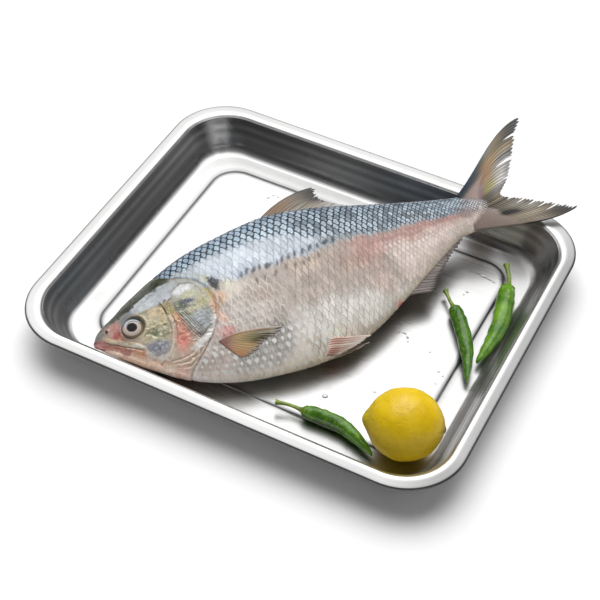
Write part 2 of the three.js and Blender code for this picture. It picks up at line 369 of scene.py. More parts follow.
def flank(s, d):
    """Half thickness of the body there."""
    middle = level(s)
    above = d >= middle
    span = np.where(above, back(s) - middle, middle - keel(s))
    reach = np.clip(np.abs(d - middle) / span, 0, 1)
    return curve(BODY, s, 3) * (1 - reach**2) ** (np.where(above, BACK_ROUNDING, KEEL_ROUNDING) / 2)


def place(s, d, w, lowest=PRESSED):
    """A point of the fish in the tray's frame. Nothing goes lower than the given height."""
    s, d, w = np.broadcast_arrays(*[np.asarray(x, float) for x in (s, d, w)])
    lean = np.radians(curve(POSE, s, 2))
    across = d * np.cos(lean) - w * np.sin(lean)
    x = FISH_SNOUT[0] + s * math.cos(FISH_HEADING) - across * math.sin(FISH_HEADING)
    y = FISH_SNOUT[1] + s * math.sin(FISH_HEADING) + across * math.cos(FISH_HEADING)
    z = curve(POSE, s, 1) + d * np.sin(lean) + w * np.cos(lean)
    return np.stack([x, y, np.maximum(z, lowest)], -1)


GIRTH_STEPS = 240
GIRTH_SAMPLES = 700
STATION_GAP = 1.0


def measure_girths():
    """For each station, d and w at equal steps of girth from the back ridge down the flank to the keel."""
    turn = np.linspace(0, math.pi, GIRTH_SAMPLES)
    stations = np.arange(0, FISH_LENGTH + STATION_GAP / 2, STATION_GAP)
    table = []
    for s in stations:
        middle = float(level(s))
        rise = np.cos(turn)
        span = np.where(rise >= 0, float(back(s)) - middle, middle - float(keel(s)))
        d = middle + span * rise
        w = float(curve(BODY, s, 3)) * np.sin(turn) ** np.where(rise >= 0, BACK_ROUNDING, KEEL_ROUNDING)
        run = np.concatenate([[0], np.cumsum(np.hypot(np.diff(d), np.diff(w)))])
        share = np.linspace(0, run[-1], GIRTH_STEPS + 1)
        table.append((np.interp(share, run, d), np.interp(share, run, w)))
    return np.array(table)


GIRTHS = measure_girths()


def on_skin(s, share):
    """d and w of the flank at a station and a share of the girth, 0 at the back ridge and 1 at the keel."""
    x = np.clip(np.asarray(s, float) / STATION_GAP, 0, len(GIRTHS) - 1.001)
    y = np.clip(np.asarray(share, float) * GIRTH_STEPS, 0, GIRTH_STEPS - 0.001)
    i, j = x.astype(int), y.astype(int)
    a, b = x - i, y - j
    found = []
    for k in (0, 1):
        table = GIRTHS[:, k, :]
        found.append((table[i, j] * (1 - b) + table[i, j + 1] * b) * (1 - a)
                     + (table[i + 1, j] * (1 - b) + table[i + 1, j + 1] * b) * a)
    return found


def share_at(s, d):
    """The share of girth at which the flank has height d."""
    row = GIRTHS[int(np.clip(round(s / STATION_GAP), 0, len(GIRTHS) - 1)), 0]
    return float(np.interp(-d, -row, np.linspace(0, 1, GIRTH_STEPS + 1)))


def way_out(grid):
    """Unit normals of rings of points, pointing outwards."""
    across = np.roll(grid, -1, axis=1) - np.roll(grid, 1, axis=1)
    normal = np.cross(across, np.gradient(grid, axis=0))
    normal = normal / np.maximum(np.linalg.norm(normal, axis=-1, keepdims=True), 1e-9)
    from_middle = grid - grid.mean(axis=1, keepdims=True)
    return -normal if np.mean((normal * from_middle).sum(-1)) < 0 else normal


def skin_rings(s, shares, sides):
    """The smooth form on rings of points: their shares of girth and heights, their places and ways out."""
    share = shares[None, :] + 0 * s
    d, w = on_skin(s, share)
    places = place(s, d, w * sides[None, :], lowest=FREE)
    return share, d, places, way_out(places)


# --- the room's light ---------------------------------------------------------------------------------------


def towards(azimuth, elevation):
    """A direction by its turn from +Y towards -X and its rise, in radians."""
    level_share = math.cos(elevation)
    return np.array([-math.sin(azimuth) * level_share, math.cos(azimuth) * level_share, math.sin(elevation)])


# the room is dim below and paler above, by the height of a direction
ROOM_HEIGHTS = (0.42, 0.95)
ROOM_LOW, ROOM_HIGH = 0.04, 0.3
# one broad soft light behind and above the tray, and a weaker one before the fish's belly
TOWARDS_LIGHT = towards(math.radians(28), math.radians(60))
LIGHT_CORE, LIGHT_EDGE, LIGHT_LEVEL = math.radians(14), math.radians(40), 4.5
TOWARDS_FILL = towards(math.radians(232), math.radians(14))
FILL_CORE, FILL_EDGE, FILL_LEVEL = math.radians(8), math.radians(27), 0.9
SEEN_IN_MIRRORS = 0.5
CAMERA_ELEVATION = math.radians(47.02)
CAMERA_AZIMUTH = math.radians(26.18)
AHEAD = towards(CAMERA_AZIMUTH, -CAMERA_ELEVATION)
# the skin's light by how far it faces the light: for none, added for full, least and most, and for the fill
SIDE_LIGHT, FACING_LIGHT, LEAST_LIGHT, MOST_LIGHT, FILL_LIGHT = 0.2, 1.02, 0.34, 1.3, 0.1
# how much further than the light its gloss reaches, and the light that comes from nowhere in particular
GLOSS_SPREAD, AMBIENT = 0.15, 0.01
DARKEST_SKIN, PALEST_SKIN, PALEST_FIN = 0.008, 0.86, 0.85
# how far apart points are compared to find the way out, and a share of girth that surely looks up
SHARE_STEP, STATION_STEP, LOOKS_UP = 0.012, 2, 0.4
SHEEN, METAL = 0.03, 0.08


def unlit(colour, s, share):
    """The skin's own colour, from the colour that it shows on the upper flank in the room's light."""
    def at(s, share):
        d, w = on_skin(s, np.clip(share, 0, 1))
        return place(s, d, w, lowest=FREE)

    down = at(s, share + SHARE_STEP) - at(s, share - SHARE_STEP)
    normal = np.cross(down, at(s + STATION_STEP, share) - at(s - STATION_STEP, share))
    normal /= np.maximum(np.linalg.norm(normal, axis=-1, keepdims=True), 1e-9)
    normal *= np.sign(normal[normal.shape[0] // 2, np.argmin(np.abs(share[0] - LOOKS_UP)), 2])
    light = np.clip(SIDE_LIGHT + FACING_LIGHT * (normal @ TOWARDS_LIGHT), LEAST_LIGHT, MOST_LIGHT)
    light = (light + FILL_LIGHT * np.maximum(normal @ TOWARDS_FILL, 0))[..., None]
    mirrored = AHEAD - 2 * (normal @ AHEAD)[..., None] * normal
    in_light = smooth(math.cos(LIGHT_EDGE + GLOSS_SPREAD), math.cos(LIGHT_CORE), mirrored @ TOWARDS_LIGHT)
    gloss = SEEN_IN_MIRRORS * LIGHT_LEVEL * in_light[..., None]
    bare = np.maximum((colour - SHEEN * gloss - AMBIENT) / ((1 - METAL) * light + METAL * gloss), DARKEST_SKIN)
    return bare * np.minimum(1, PALEST_SKIN / bare.max(axis=-1, keepdims=True))


# --- scales -------------------------------------------------------------------------------------------------

SCALE_ROWS = 25
# how much closer the rows lie towards the ridge and the keel
ROW_CROWDING = 0.1
# how far a free edge reaches back, in columns, and how high it stands, in mm
SCALE_BULGE = 0.5
SCALE_TILT = 0.3
COUNT_STEPS = 800
NOISE_CELLS = 64
# distance from the snout, length of a scale's bare part
SCALE_PITCH = [(50, 5.9), (95, 6.1), (150, 6.6), (200, 6.3), (250, 5.3), (300, 4.2), (340, 3.3), (376, 2.8)]


def scale_place(s, share):
    """Where a point lies among the scales: columns from the head, and rows from the back ridge."""
    steps = np.linspace(0, FISH_LENGTH, COUNT_STEPS)
    count = np.concatenate([[0], np.cumsum(np.diff(steps) / curve(SCALE_PITCH, steps[1:]))])
    rows = SCALE_ROWS * (share + ROW_CROWDING / (2 * math.pi) * np.sin(2 * math.pi * share))
    return np.interp(s, steps, count), rows


def under_which_scale(column, row):
    """The share of a scale that is left before its free edge, and the scale's own column and row. The
    material's nodes take the same steps."""
    found = []
    for step in (0, 1):
        r = np.floor(row) + step
        off = np.abs(row - r)
        shift = 0.5 * np.mod(r, 2)
        q = column - shift - SCALE_BULGE * np.sqrt(np.maximum(1 - off * off, 0))
        k = np.ceil(q)
        found.append((k - q, k + shift, r))
    first = found[0][1] < found[1][1]
    return [np.where(first, a, b) for a, b in zip(*found)]


def chance_of(column, row):
    """A share from 0 to 1 for each scale, in no order but the same each run."""
    mixed = np.sin(column * 12.9898 + row * 78.233) * 43758.5453
    return mixed - np.floor(mixed)


def value_noise(x, y, size, seed):
    """Smooth unevenness from -1 to 1, the same each run."""
    grid = np.random.RandomState(seed).uniform(-1, 1, (NOISE_CELLS, NOISE_CELLS))
    x, y = np.asarray(x, float) / size + 100, np.asarray(y, float) / size + 100
    i, j = np.floor(x).astype(int), np.floor(y).astype(int)
    a, b = x - i, y - j
    a, b = a * a * (3 - 2 * a), b * b * (3 - 2 * b)
    i, j = i % NOISE_CELLS, j % NOISE_CELLS
    i2, j2 = (i + 1) % NOISE_CELLS, (j + 1) % NOISE_CELLS
    return (grid[i, j] * (1 - a) + grid[i2, j] * a) * (1 - b) + (grid[i, j2] * (1 - a) + grid[i2, j2] * a) * b


# --- marks drawn on the fish's flank ------------------------------------------------------------------------


def from_line(s, d, points):
    """Distance in mm from a drawn line, and the share of its length at the nearest point."""
    points = np.asarray(points, float)
    lengths = np.hypot(*np.diff(points, axis=0).T)
    starts = np.concatenate([[0], np.cumsum(lengths)])
    best, share = np.full(np.shape(s), 1e9), np.zeros(np.shape(s))
    for (a, b), length, start in zip(zip(points, points[1:]), lengths, starts):
        t = np.clip(((s - a[0]) * (b[0] - a[0]) + (d - a[1]) * (b[1] - a[1])) / max(length**2, 1e-9), 0, 1)
        away = np.hypot(s - lerp(a[0], b[0], t), d - lerp(a[1], b[1], t))
        nearer = away < best
        best = np.where(nearer, away, best)
        share = np.where(nearer, (start + t * length) / starts[-1], share)
    return best, share


def smooth_line(points, steps=6):
    """The same line with rounded bends."""
    t = np.linspace(0, 1, (len(points) - 1) * steps + 1)
    return np.stack(along(points, t), -1)


def stroke(s, d, points, half_width, soft=0.6):
    """1 on a drawn line, fading out at half_width on each side."""
    away, _ = from_line(s, d, smooth_line(points))
    return fade(half_width - soft, half_width + soft, away)


def patch(s, d, centre, radii, turn=0.0, soft=0.35):
    """1 inside an oval, fading across its edge."""
    x, y = s - centre[0], d - centre[1]
    c, k = math.cos(math.radians(turn)), math.sin(math.radians(turn))
    reach = np.hypot((x * c + y * k) / radii[0], (y * c - x * k) / radii[1])
    return fade(1 - soft, 1 + soft, reach)


def field(s, d, points, soft=1.5):
    """1 inside a closed outline, fading across it."""
    points = np.asarray(points, float)
    inside = np.zeros(np.shape(s), bool)
    for a, b in zip(points, np.roll(points, -1, axis=0)):
        crosses = (a[1] > d) != (b[1] > d)
        at = a[0] + (d - a[1]) / (b[1] - a[1] if b[1] != a[1] else 1e-9) * (b[0] - a[0])
        inside ^= crosses & (s < at)
    away, _ = from_line(s, d, np.vstack([points, points[:1]]))
    return smooth(-soft, soft, np.where(inside, away, -away))


class Tint:
    """Colours laid over one another on points of the fish."""

    def __init__(self, points, ground):
        self.colour = np.tile(srgb(*ground), (*points.shape, 1))

    def lay(self, mask, colour, strength=1.0):
        share = (mask * strength)[..., None]
        self.colour = self.colour * (1 - share) + srgb(*colour) * share

    def ovals(self, s, d, rows):
        """Lays ovals in turn, each with its middle, radii, turn in degrees, softness, colour and strength."""
        for x, y, across, high, turn, soft, *colour, strength in rows:
            self.lay(patch(s, d, (x, y), (across, high), turn, soft), colour, strength)

    def darken(self, mask, keep):
        self.colour = self.colour * (1 - mask * (1 - keep))[..., None]


# --- the fish's body ----------------------------------------------------------------------------------------

# rear edge of the head, from the back ridge down over the gill cover to the keel
HEAD_EDGE = [
    (61, 37), (69, 31), (75, 25), (82, 20.5), (88, 16.5), (94, 9), (98, 0), (99.8, -10), (99.3, -20),
    (95.5, -32), (88.5, -41), (80, -48.5), (70, -55.5), (63, -60), (60, -63.8),
]
HEAD_EDGE_SHARES = [share_at(*point) for point in HEAD_EDGE]
BODY_START = 44.0
# rings along the body and the head, and points round them on the upper and the lower flank
BODY_STATIONS, BODY_GIRTH = 330, (204, 76)
HEAD_STATIONS, HEAD_GIRTH = 240, (298, 90)
# how much closer the head's rings lie towards the snout
NOSE_CROWDING = 1.12
# how deep the skin is tucked under the gill cover
TUCK = 0.9


def head_edge(share):
    return np.interp(share, HEAD_EDGE_SHARES, [p[0] for p in HEAD_EDGE])


def girth_ring(upper, lower):
    """Shares of girth and sides all round the fish, denser on the flank that is seen."""
    shares = np.concatenate([np.linspace(0, 1, upper + 1), np.linspace(1, 0, lower + 1)[1:-1]])
    sides = np.concatenate([np.ones(upper + 1), -np.ones(lower - 1)])
    return shares, sides


# lower edges of the dark net of scales and of the silver below it, and the two rows of dark spots
NET_LINE = [(60, 20), (75, 25), (95, 30), (120, 31), (150, 31), (172, 28), (190, 23), (210, 15), (232, 9),
            (260, 5.5), (300, 4.5), (340, 3.5), (376, 3)]
SILVER_LINE = [(90, 0), (105, -3), (130, -4), (160, -3), (200, 0), (240, 2), (300, 4), (376, 3)]
SPOT_ROW = [(130, -1.5), (136, 0), (141.5, -1), (148, 0), (155, -1.5), (162, -1), (169, 0.5), (176, 1),
            (182.5, 2), (190, 2.5), (197, 4), (204, 4), (211, 5), (218, 6)]
FAINT_SPOTS = [(150, -11), (157, -11), (169, -8.5), (178, -10), (184.5, -9), (192, -7), (200, -6), (142, -12)]


def body_tint(s, d):
    """Ground colours of the scaled skin, colours of the scales' borders, how strong and wide those are, and how
    strong the painted glints are.
    """
    drift = value_noise(s, d, 9, 3) * 2.2 + value_noise(s, d, 3.5, 4) * 0.8
    dd = d + drift
    ss = s + value_noise(s, d, 8, 5) * 2.5
    keel_gap = d - keel(s)
    wander = drift + value_noise(s, d, 16, 11) * 3
    dw, sw = d + wander, s + value_noise(s, d, 20, 12) * 6
    over_silver, over_net = dw - curve(SILVER_LINE, s), dd - curve(NET_LINE, s)
    t = Tint(s, (184, 173, 165))
    # the belly
    t.lay(fade(-60, -40, dw) * smooth(130, 175, sw), (205, 201, 194))
    t.lay(patch(sw, dw, (196, -62), (42, 15), 0, 0.6), (224, 221, 214), 0.85)
    t.lay(fade(-62, -44, dw) * fade(132, 168, sw), (140, 137, 133))
    t.ovals(sw, dw, [
        (196, -80, 50, 6, 0, 0.7, 212, 199, 185, 0.7), (249, -47, 13, 10, 0, 0.8, 198, 176, 168, 0.5),
    ])
    # the flank
    t.ovals(sw, dw, [
        (118, -10, 14, 10, 0, 0.5, 212, 203, 190, 0.8), (140, -26, 14, 8, 0, 0.6, 166, 151, 140, 0.75),
        (118, -38, 14, 9, 0, 0.6, 196, 187, 179, 0.7), (190, -10, 20, 9, 0, 0.6, 202, 186, 173, 0.8),
        (192, -34, 14, 9, 0, 0.6, 192, 178, 170, 0.6), (222, -20, 14, 12, 0, 0.6, 188, 165, 154, 0.7),
        (240, -15, 13, 14, -20, 0.8, 192, 158, 150, 0.8), (243, -36, 12, 12, 0, 0.8, 204, 184, 176, 0.5),
        (84, -62, 16, 14, 0, 0.6, 164, 150, 142, 0.9),
    ])
    rear = smooth(246, 266, sw + 0.4 * dw)
    t.lay(rear * fade(-12, -3, dw), (220, 203, 195))
    t.lay(rear * fade(2, 15, keel_gap + wander), (180, 166, 156), 0.7)
    t.lay(stroke(sw, dw, [(250, -14), (275, -12), (300, -9), (330, -6)], 4, 4), (198, 168, 158), 0.75)
    t.lay(stroke(sw, dw, [(238, -8), (262, -5), (300, -2.5), (345, 0)], 7, 6), (196, 160, 153), 0.85)
    for line, width in (([(228, -1), (262, 0), (300, -3), (330, -2)], 1.2),
                        ([(240, -9), (270, -7), (305, -7)], 1.2), ([(300, 2), (330, 1), (350, 1)], 1.6)):
        t.lay(stroke(ss, dd, line, width, 1.8), (170, 130, 124), 0.45)
    t.lay(patch(ss, dd, (312, -9), (20, 2.2), 4, 0.7), (218, 202, 194), 0.7)
    # the silver above the row of spots, and the back
    silver = smooth(-4, 5, over_silver)
    t.lay(silver * fade(196, 240, sw), (208, 214, 222))
    t.lay(patch(sw, dw, (136, 17), (34, 10), 0, 0.5), (219, 226, 234), 0.8)
    t.lay(silver * smooth(160, 205, sw) * fade(4, 12, dw), (178, 183, 186), 0.8)
    t.lay(silver * smooth(192, 222, sw), (146, 154, 158))
    t.lay(silver * smooth(276, 300, sw), (120, 127, 133), 0.85)
    t.lay(patch(sw, dw, (330, 9), (16, 5), 0, 0.6), (126, 138, 148), 0.7)
    net = smooth(-5, 4, over_net)
    t.lay(net * fade(186, 222, sw), (180, 200, 217))
    t.lay(net * smooth(170, 210, sw), (122, 138, 152))
    t.lay(net * smooth(280, 300, sw), (104, 112, 120), 0.85)
    deep = smooth(-6, 4, dd - (back(s) - 16))
    t.lay(deep, (134, 157, 175), 0.7)
    t.lay(deep * smooth(150, 190, sw), (108, 122, 134), 0.75)
    t.lay(smooth(-2, 3, dd - (back(s) - 7)), (92, 98, 104), 0.8)
    t.lay(patch(ss, dd, (344, 10), (10, 5), 0, 0.5), (168, 186, 194), 0.7)
    t.lay(field(ss, dd, [(340, 6), (366, 10), (380, 8), (380, -2), (352, -8), (342, -8)], 3),
          (160, 146, 143), 0.8)
    t.lay(field(ss, dd, [(361, 10), (370, 11), (380, 8), (380, 4), (366, 3)], 2), (196, 176, 178), 0.7)
    t.lay(smooth(350, 362, ss) * smooth(7, 10, dd), (92, 108, 122), 0.85)
    t.lay(field(ss, dd, [(362, 1), (372, 0), (379, -6), (374, -16), (362, -14)], 2), (206, 198, 196), 0.85)
    t.lay(fade(1.5, 7, keel_gap) * smooth(85, 100, s), (176, 164, 150), 0.8)
    # behind the gill cover
    t.lay(field(ss, dd, [(84, 24), (100, 14), (106, 12), (104, 3), (98, 5), (90, 18)], 2.5),
          (200, 203, 192), 0.9)
    t.ovals(ss, dd, [
        (101.5, 8.5, 3.2, 4.5, 0, 0.35, 214, 213, 188, 0.8), (114.5, -4, 5, 5.5, 0, 0.35, 220, 218, 200, 0.7),
        (99.5, -6, 3, 4.5, 0, 0.35, 198, 190, 142, 0.8),
    ])
    t.lay(field(ss, dd, [(98, -8), (106, -7), (113, -11), (112, -18), (105, -24), (101, -34), (97, -30)], 2.2),
          (204, 172, 148), 0.8)
    t.ovals(ss, dd, [
        (105, -14, 5, 5, 0, 0.35, 198, 158, 130, 0.5), (100.5, -31, 4, 8, 0, 0.35, 214, 178, 160, 0.8),
        (100, -45.5, 5.5, 3.4, 0, 0.8, 204, 112, 108, 0.8), (95, -43, 5, 4, 0, 0.7, 208, 176, 172, 0.8),
        (252, -62, 4.5, 2.5, 0, 0.8, 150, 74, 66, 0.8), (185, -77, 7, 4, 0, 0.35, 206, 212, 190, 0.6),
    ])
    for spot in SPOT_ROW:
        t.lay(patch(ss, d + 0.4 * drift, spot, (3.4, 1.5), 66, 0.5), (44, 54, 70), 0.8)
    for spot in FAINT_SPOTS:
        t.lay(patch(ss, d + 0.4 * drift, spot, (3.2, 1.1), 62, 0.6), (96, 80, 68), 0.65)
    ragged_s = s + value_noise(s, d, 2.2, 6) * 1.8
    ragged_d = d + value_noise(s, d, 2.2, 7) * 1.8
    t.ovals(ragged_s, ragged_d, [
        (105.6, 2.2, 4.2, 6.4, 12, 0.3, 34, 38, 56, 0.97), (106.2, -4.5, 2.4, 3.4, 0, 0.5, 30, 34, 44, 0.7),
    ])
    border = Tint(s, (138, 123, 113))
    border.lay(fade(-52, -38, dw), (112, 108, 104))
    border.lay(fade(148, 172, sw) * fade(-8, 0, over_silver), (250, 246, 240))
    border.lay(rear * fade(-8, 0, dw), (166, 146, 138))
    border.lay(smooth(-3, 4, over_silver), (104, 120, 142))
    border.lay(smooth(-3, 4, over_silver) * smooth(190, 225, sw), (78, 86, 92))
    border.lay(smooth(-10, 0, over_net), (18, 38, 62))
    border.lay(patch(ragged_s, ragged_d, (105.6, 2.2), (4.6, 6.8), 12, 0.3), (34, 38, 56), 0.9)
    strength = 0.68 + 0 * s
    strength = lerp(strength, 0.5, fade(148, 172, sw))
    strength = lerp(strength, 0.7, silver * fade(180, 210, sw))
    strength = lerp(strength, 0.95, smooth(-6, 2, over_net))
    strength *= 1 - 0.35 * patch(sw, dw, (215, -42), (40, 13), 0, 0.6)
    strength *= 1 - 0.3 * patch(sw, dw, (128, 20), (30, 9), 0, 0.6)
    width = lerp(0.15 + 0.03 * silver, 0.32, smooth(-6, 4, over_net))
    # painted highlights: how strongly white glints are painted on the scales, low on the belly, on the rear and
    # at the tail's end
    glint = fade(-66, -52, dw + 0.12 * (sw - 130)) * fade(184, 206, sw) + 0.6 * smooth(350, 362, s)
    glint = glint + 0.45 * rear * fade(-16, -6, dw)
    glint = glint + 0.25 * fade(130, 165, sw) * fade(-40, -10, dw)
    return t.colour, border.colour, strength, width, np.minimum(glint, 1)


def fish_body(skin):
    shares, sides = girth_ring(*BODY_GIRTH)
    s = np.linspace(BODY_START, FISH_LENGTH, BODY_STATIONS + 1)[:, None] + 0 * shares[None, :]
    share, d, grid, out = skin_rings(s, shares, sides)
    column, row = scale_place(s, share)
    left, own_column, own_row = under_which_scale(column, row)
    size = curve(SCALE_PITCH, s) / SCALE_PITCH[1][1]
    calm = smooth(0, 0.03, share) * smooth(0, 0.03, 1 - share)
    raised = SCALE_TILT * size * calm * ((1 - left) * (0.7 + 0.6 * chance_of(own_column, own_row)) - 0.4)
    behind_head = s - head_edge(share)
    raised = raised * smooth(0, 4, behind_head)
    on_ridge = fade(0, 0.08, share)
    free = smooth(0.2, 2.4, behind_head) * (1 - on_ridge) + smooth(-0.5, 1.5, behind_head) * on_ridge
    raised -= TUCK * (1 - free)
    # notched shields along the keel
    raised += 0.5 * fade(0, 0.025, 1 - share) * np.mod(column, 1) * smooth(95, 105, s) * fade(248, 256, s)
    # slight hollows and swellings of the flesh under the skin
    raised += (0.35 * value_noise(s, d, 26, 8) + 0.15 * value_noise(s, d, 11, 9)) * calm
    grid = grid + out * raised[..., None]
    grid[..., 2] = np.maximum(grid[..., 2], PRESSED)
    rows, columns = s.shape
    points, faces = list(grid.reshape(-1, 3)), strip_faces(rows, columns)
    shut_ends(points, faces, columns)
    colour, border, strength, width, glint = body_tint(s, d)
    values = {"ground": unlit(colour, s, share), "border": unlit(border, s, share), "border_strength": strength,
              "border_width": width, "glint": glint, "scale_place": np.stack([column, row, 0 * row], -1)}
    piece = mesh_piece("fish_body", points, faces, {key: with_ends(value) for key, value in values.items()})
    return finish(piece, skin, ["fish"])


# --- the fish's head ----------------------------------------------------------------------------------------

EYE = (31.5, -6.5)
PUPIL = (30.2, -6.8)
MOUTH = [(7.8, -5.6), (11, -9.6), (14.8, -12.7), (18.8, -16.7), (23.8, -20.8), (27.5, -24), (31.9, -27.8)]
LIP = [(-0.5, -1.2), (3, -4.6), (8.2, -9.4), (14.6, -15), (21, -22)]
UPPER_JAW_BONE = [(8.1, -2.6), (12.6, -7.4), (18.2, -11.8), (23.2, -16), (27.8, -19.2), (31.4, -22.3),
                  (33.2, -25.6), (32, -27.2), (27.5, -23.5), (23.8, -20.3), (18.8, -16.2), (14.8, -12.2),
                  (11, -9), (8, -5)]
LOWER_JAW_SKIN = [(3.6, -6.5), (8.2, -9.6), (14.8, -13), (21, -19), (27.5, -24.4), (32, -28), (33.8, -31.5),
                  (32.4, -34), (29, -30.6), (23.8, -26), (18.5, -20.8), (12, -14.4), (7, -10)]
CHEEK_RIM = [(61.2, -13), (61, -21), (58.6, -29), (55.4, -36.5), (50, -43)]
GILL_PLATE = [(72.2, 9.8), (76.6, 12.5), (81.2, 13.8), (85.6, 12), (89.1, 9.5), (92.1, 4.5), (93.8, -1.8),
              (95.2, -7.8), (96.6, -15), (95.8, -21.8), (95.4, -26.5), (90.2, -33.8), (84.6, -37), (79.2, -39.8),
              (74.5, -31), (71, -20), (68.5, -9), (69, 2)]
THROAT_FOLDS = [
    [(42.5, -44.2), (48, -48), (56.8, -52), (64.8, -53.4), (71.2, -50)],
    [(46.8, -48.2), (55, -54), (62, -57), (67.4, -55)], [(50, -47), (58, -49), (66, -49), (72, -46)],
    [(64, -52), (72, -52), (79, -47)],
]
# the front one of the curved ribs of the gill plate, and the gap between them
GILL_RIBS = [(70, -12), (72.8, -20), (75.8, -30), (79, -38)]
RIB_GAP = 1.7


def shifted(line, ahead, up=0.0):
    return [(s + ahead, d + up) for s, d in line]


def arc(centre, radius, start, end, steps=14):
    angles = np.radians(np.linspace(start, end, steps))
    return [(centre[0] + radius * math.cos(a), centre[1] + radius * math.sin(a)) for a in angles]


def head_relief(s, d):
    """Height in mm of the head's bones, lips and folds over its smooth form."""
    h = 0.3 * value_noise(s, d, 12, 21) + 0.14 * value_noise(s, d, 4.5, 22)
    from_eye = np.hypot(s - EYE[0], d - EYE[1])
    h += 0.5 * np.exp(-(((from_eye - 10.8) / 1.4) ** 2))
    h -= 3.2 * fade(8.3, 9.8, from_eye)
    h += 0.55 * field(s, d, UPPER_JAW_BONE, 1.1)
    h -= 0.6 * stroke(s, d, MOUTH, 0.4, 0.6)
    h -= 0.5 * stroke(s, d, LIP, 0.35, 0.5)
    h += 0.35 * field(s, d, LOWER_JAW_SKIN, 1.2)
    h -= 0.3 * stroke(s, d, [(3.6, -7), (12, -15), (23.8, -27), (33, -35.5)], 0.5, 0.8)
    h -= 1.3 * patch(s, d, (11.2, 2.5), (0.9, 1.6), 0, 0.4)
    h += 0.3 * patch(s, d, (12.9, 3.3), (1.0, 1.3), 0, 0.5)
    h += 0.5 * stroke(s, d, CHEEK_RIM, 1.0, 1.0)
    h -= 0.35 * stroke(s, d, shifted(CHEEK_RIM, 2.4, 0.3), 0.5, 0.7)
    h -= 0.5 * stroke(s, d, [(58.4, 4.2), (58.8, 0), (59.6, -8.5)], 0.6, 0.8)
    h += 0.3 * field(s, d, GILL_PLATE, 2.2)
    h -= 0.15 * stroke(s, d, GILL_PLATE[:7], 0.4, 0.5)
    h -= 0.15 * stroke(s, d, GILL_PLATE[10:14], 0.6, 0.8)
    ribs, run = from_line(s, d, smooth_line(GILL_RIBS))
    h += 0.12 * np.sin(ribs * 2 * math.pi / RIB_GAP) * fade(3.5, 7, ribs) * smooth(0.02, 0.15, run) * (s > 66)
    for fold in THROAT_FOLDS:
        h -= 0.45 * stroke(s, d, fold, 0.5, 0.8)
        h += 0.25 * stroke(s, d, shifted(fold, 0.8, -1.3), 0.9, 0.9)
    h += 0.35 * field(s, d, [(12, 8), (36, 8.5), (42, 13), (60, 20), (74, 21.5), (80, 50), (0, 40)], 1.6)
    h -= 0.3 * stroke(s, d, [(40, 3.6), (48, 2.8), (57, 3.6)], 0.6, 0.9)
    creases = value_noise(s + 0.6 * d, d, 2.6, 23) * value_noise(s, d - 0.4 * s, 5, 24)
    h += 0.3 * creases * field(s, d, [(36, -20), (38, 2), (58, 3), (60, -30), (50, -44), (36, -36)], 3)
    h += 0.16 * value_noise(s * 0.35 + d, d - s, 1.7, 25) * smooth(-46, -40, d) * fade(-20, -8, d) * (s > 60)
    return h


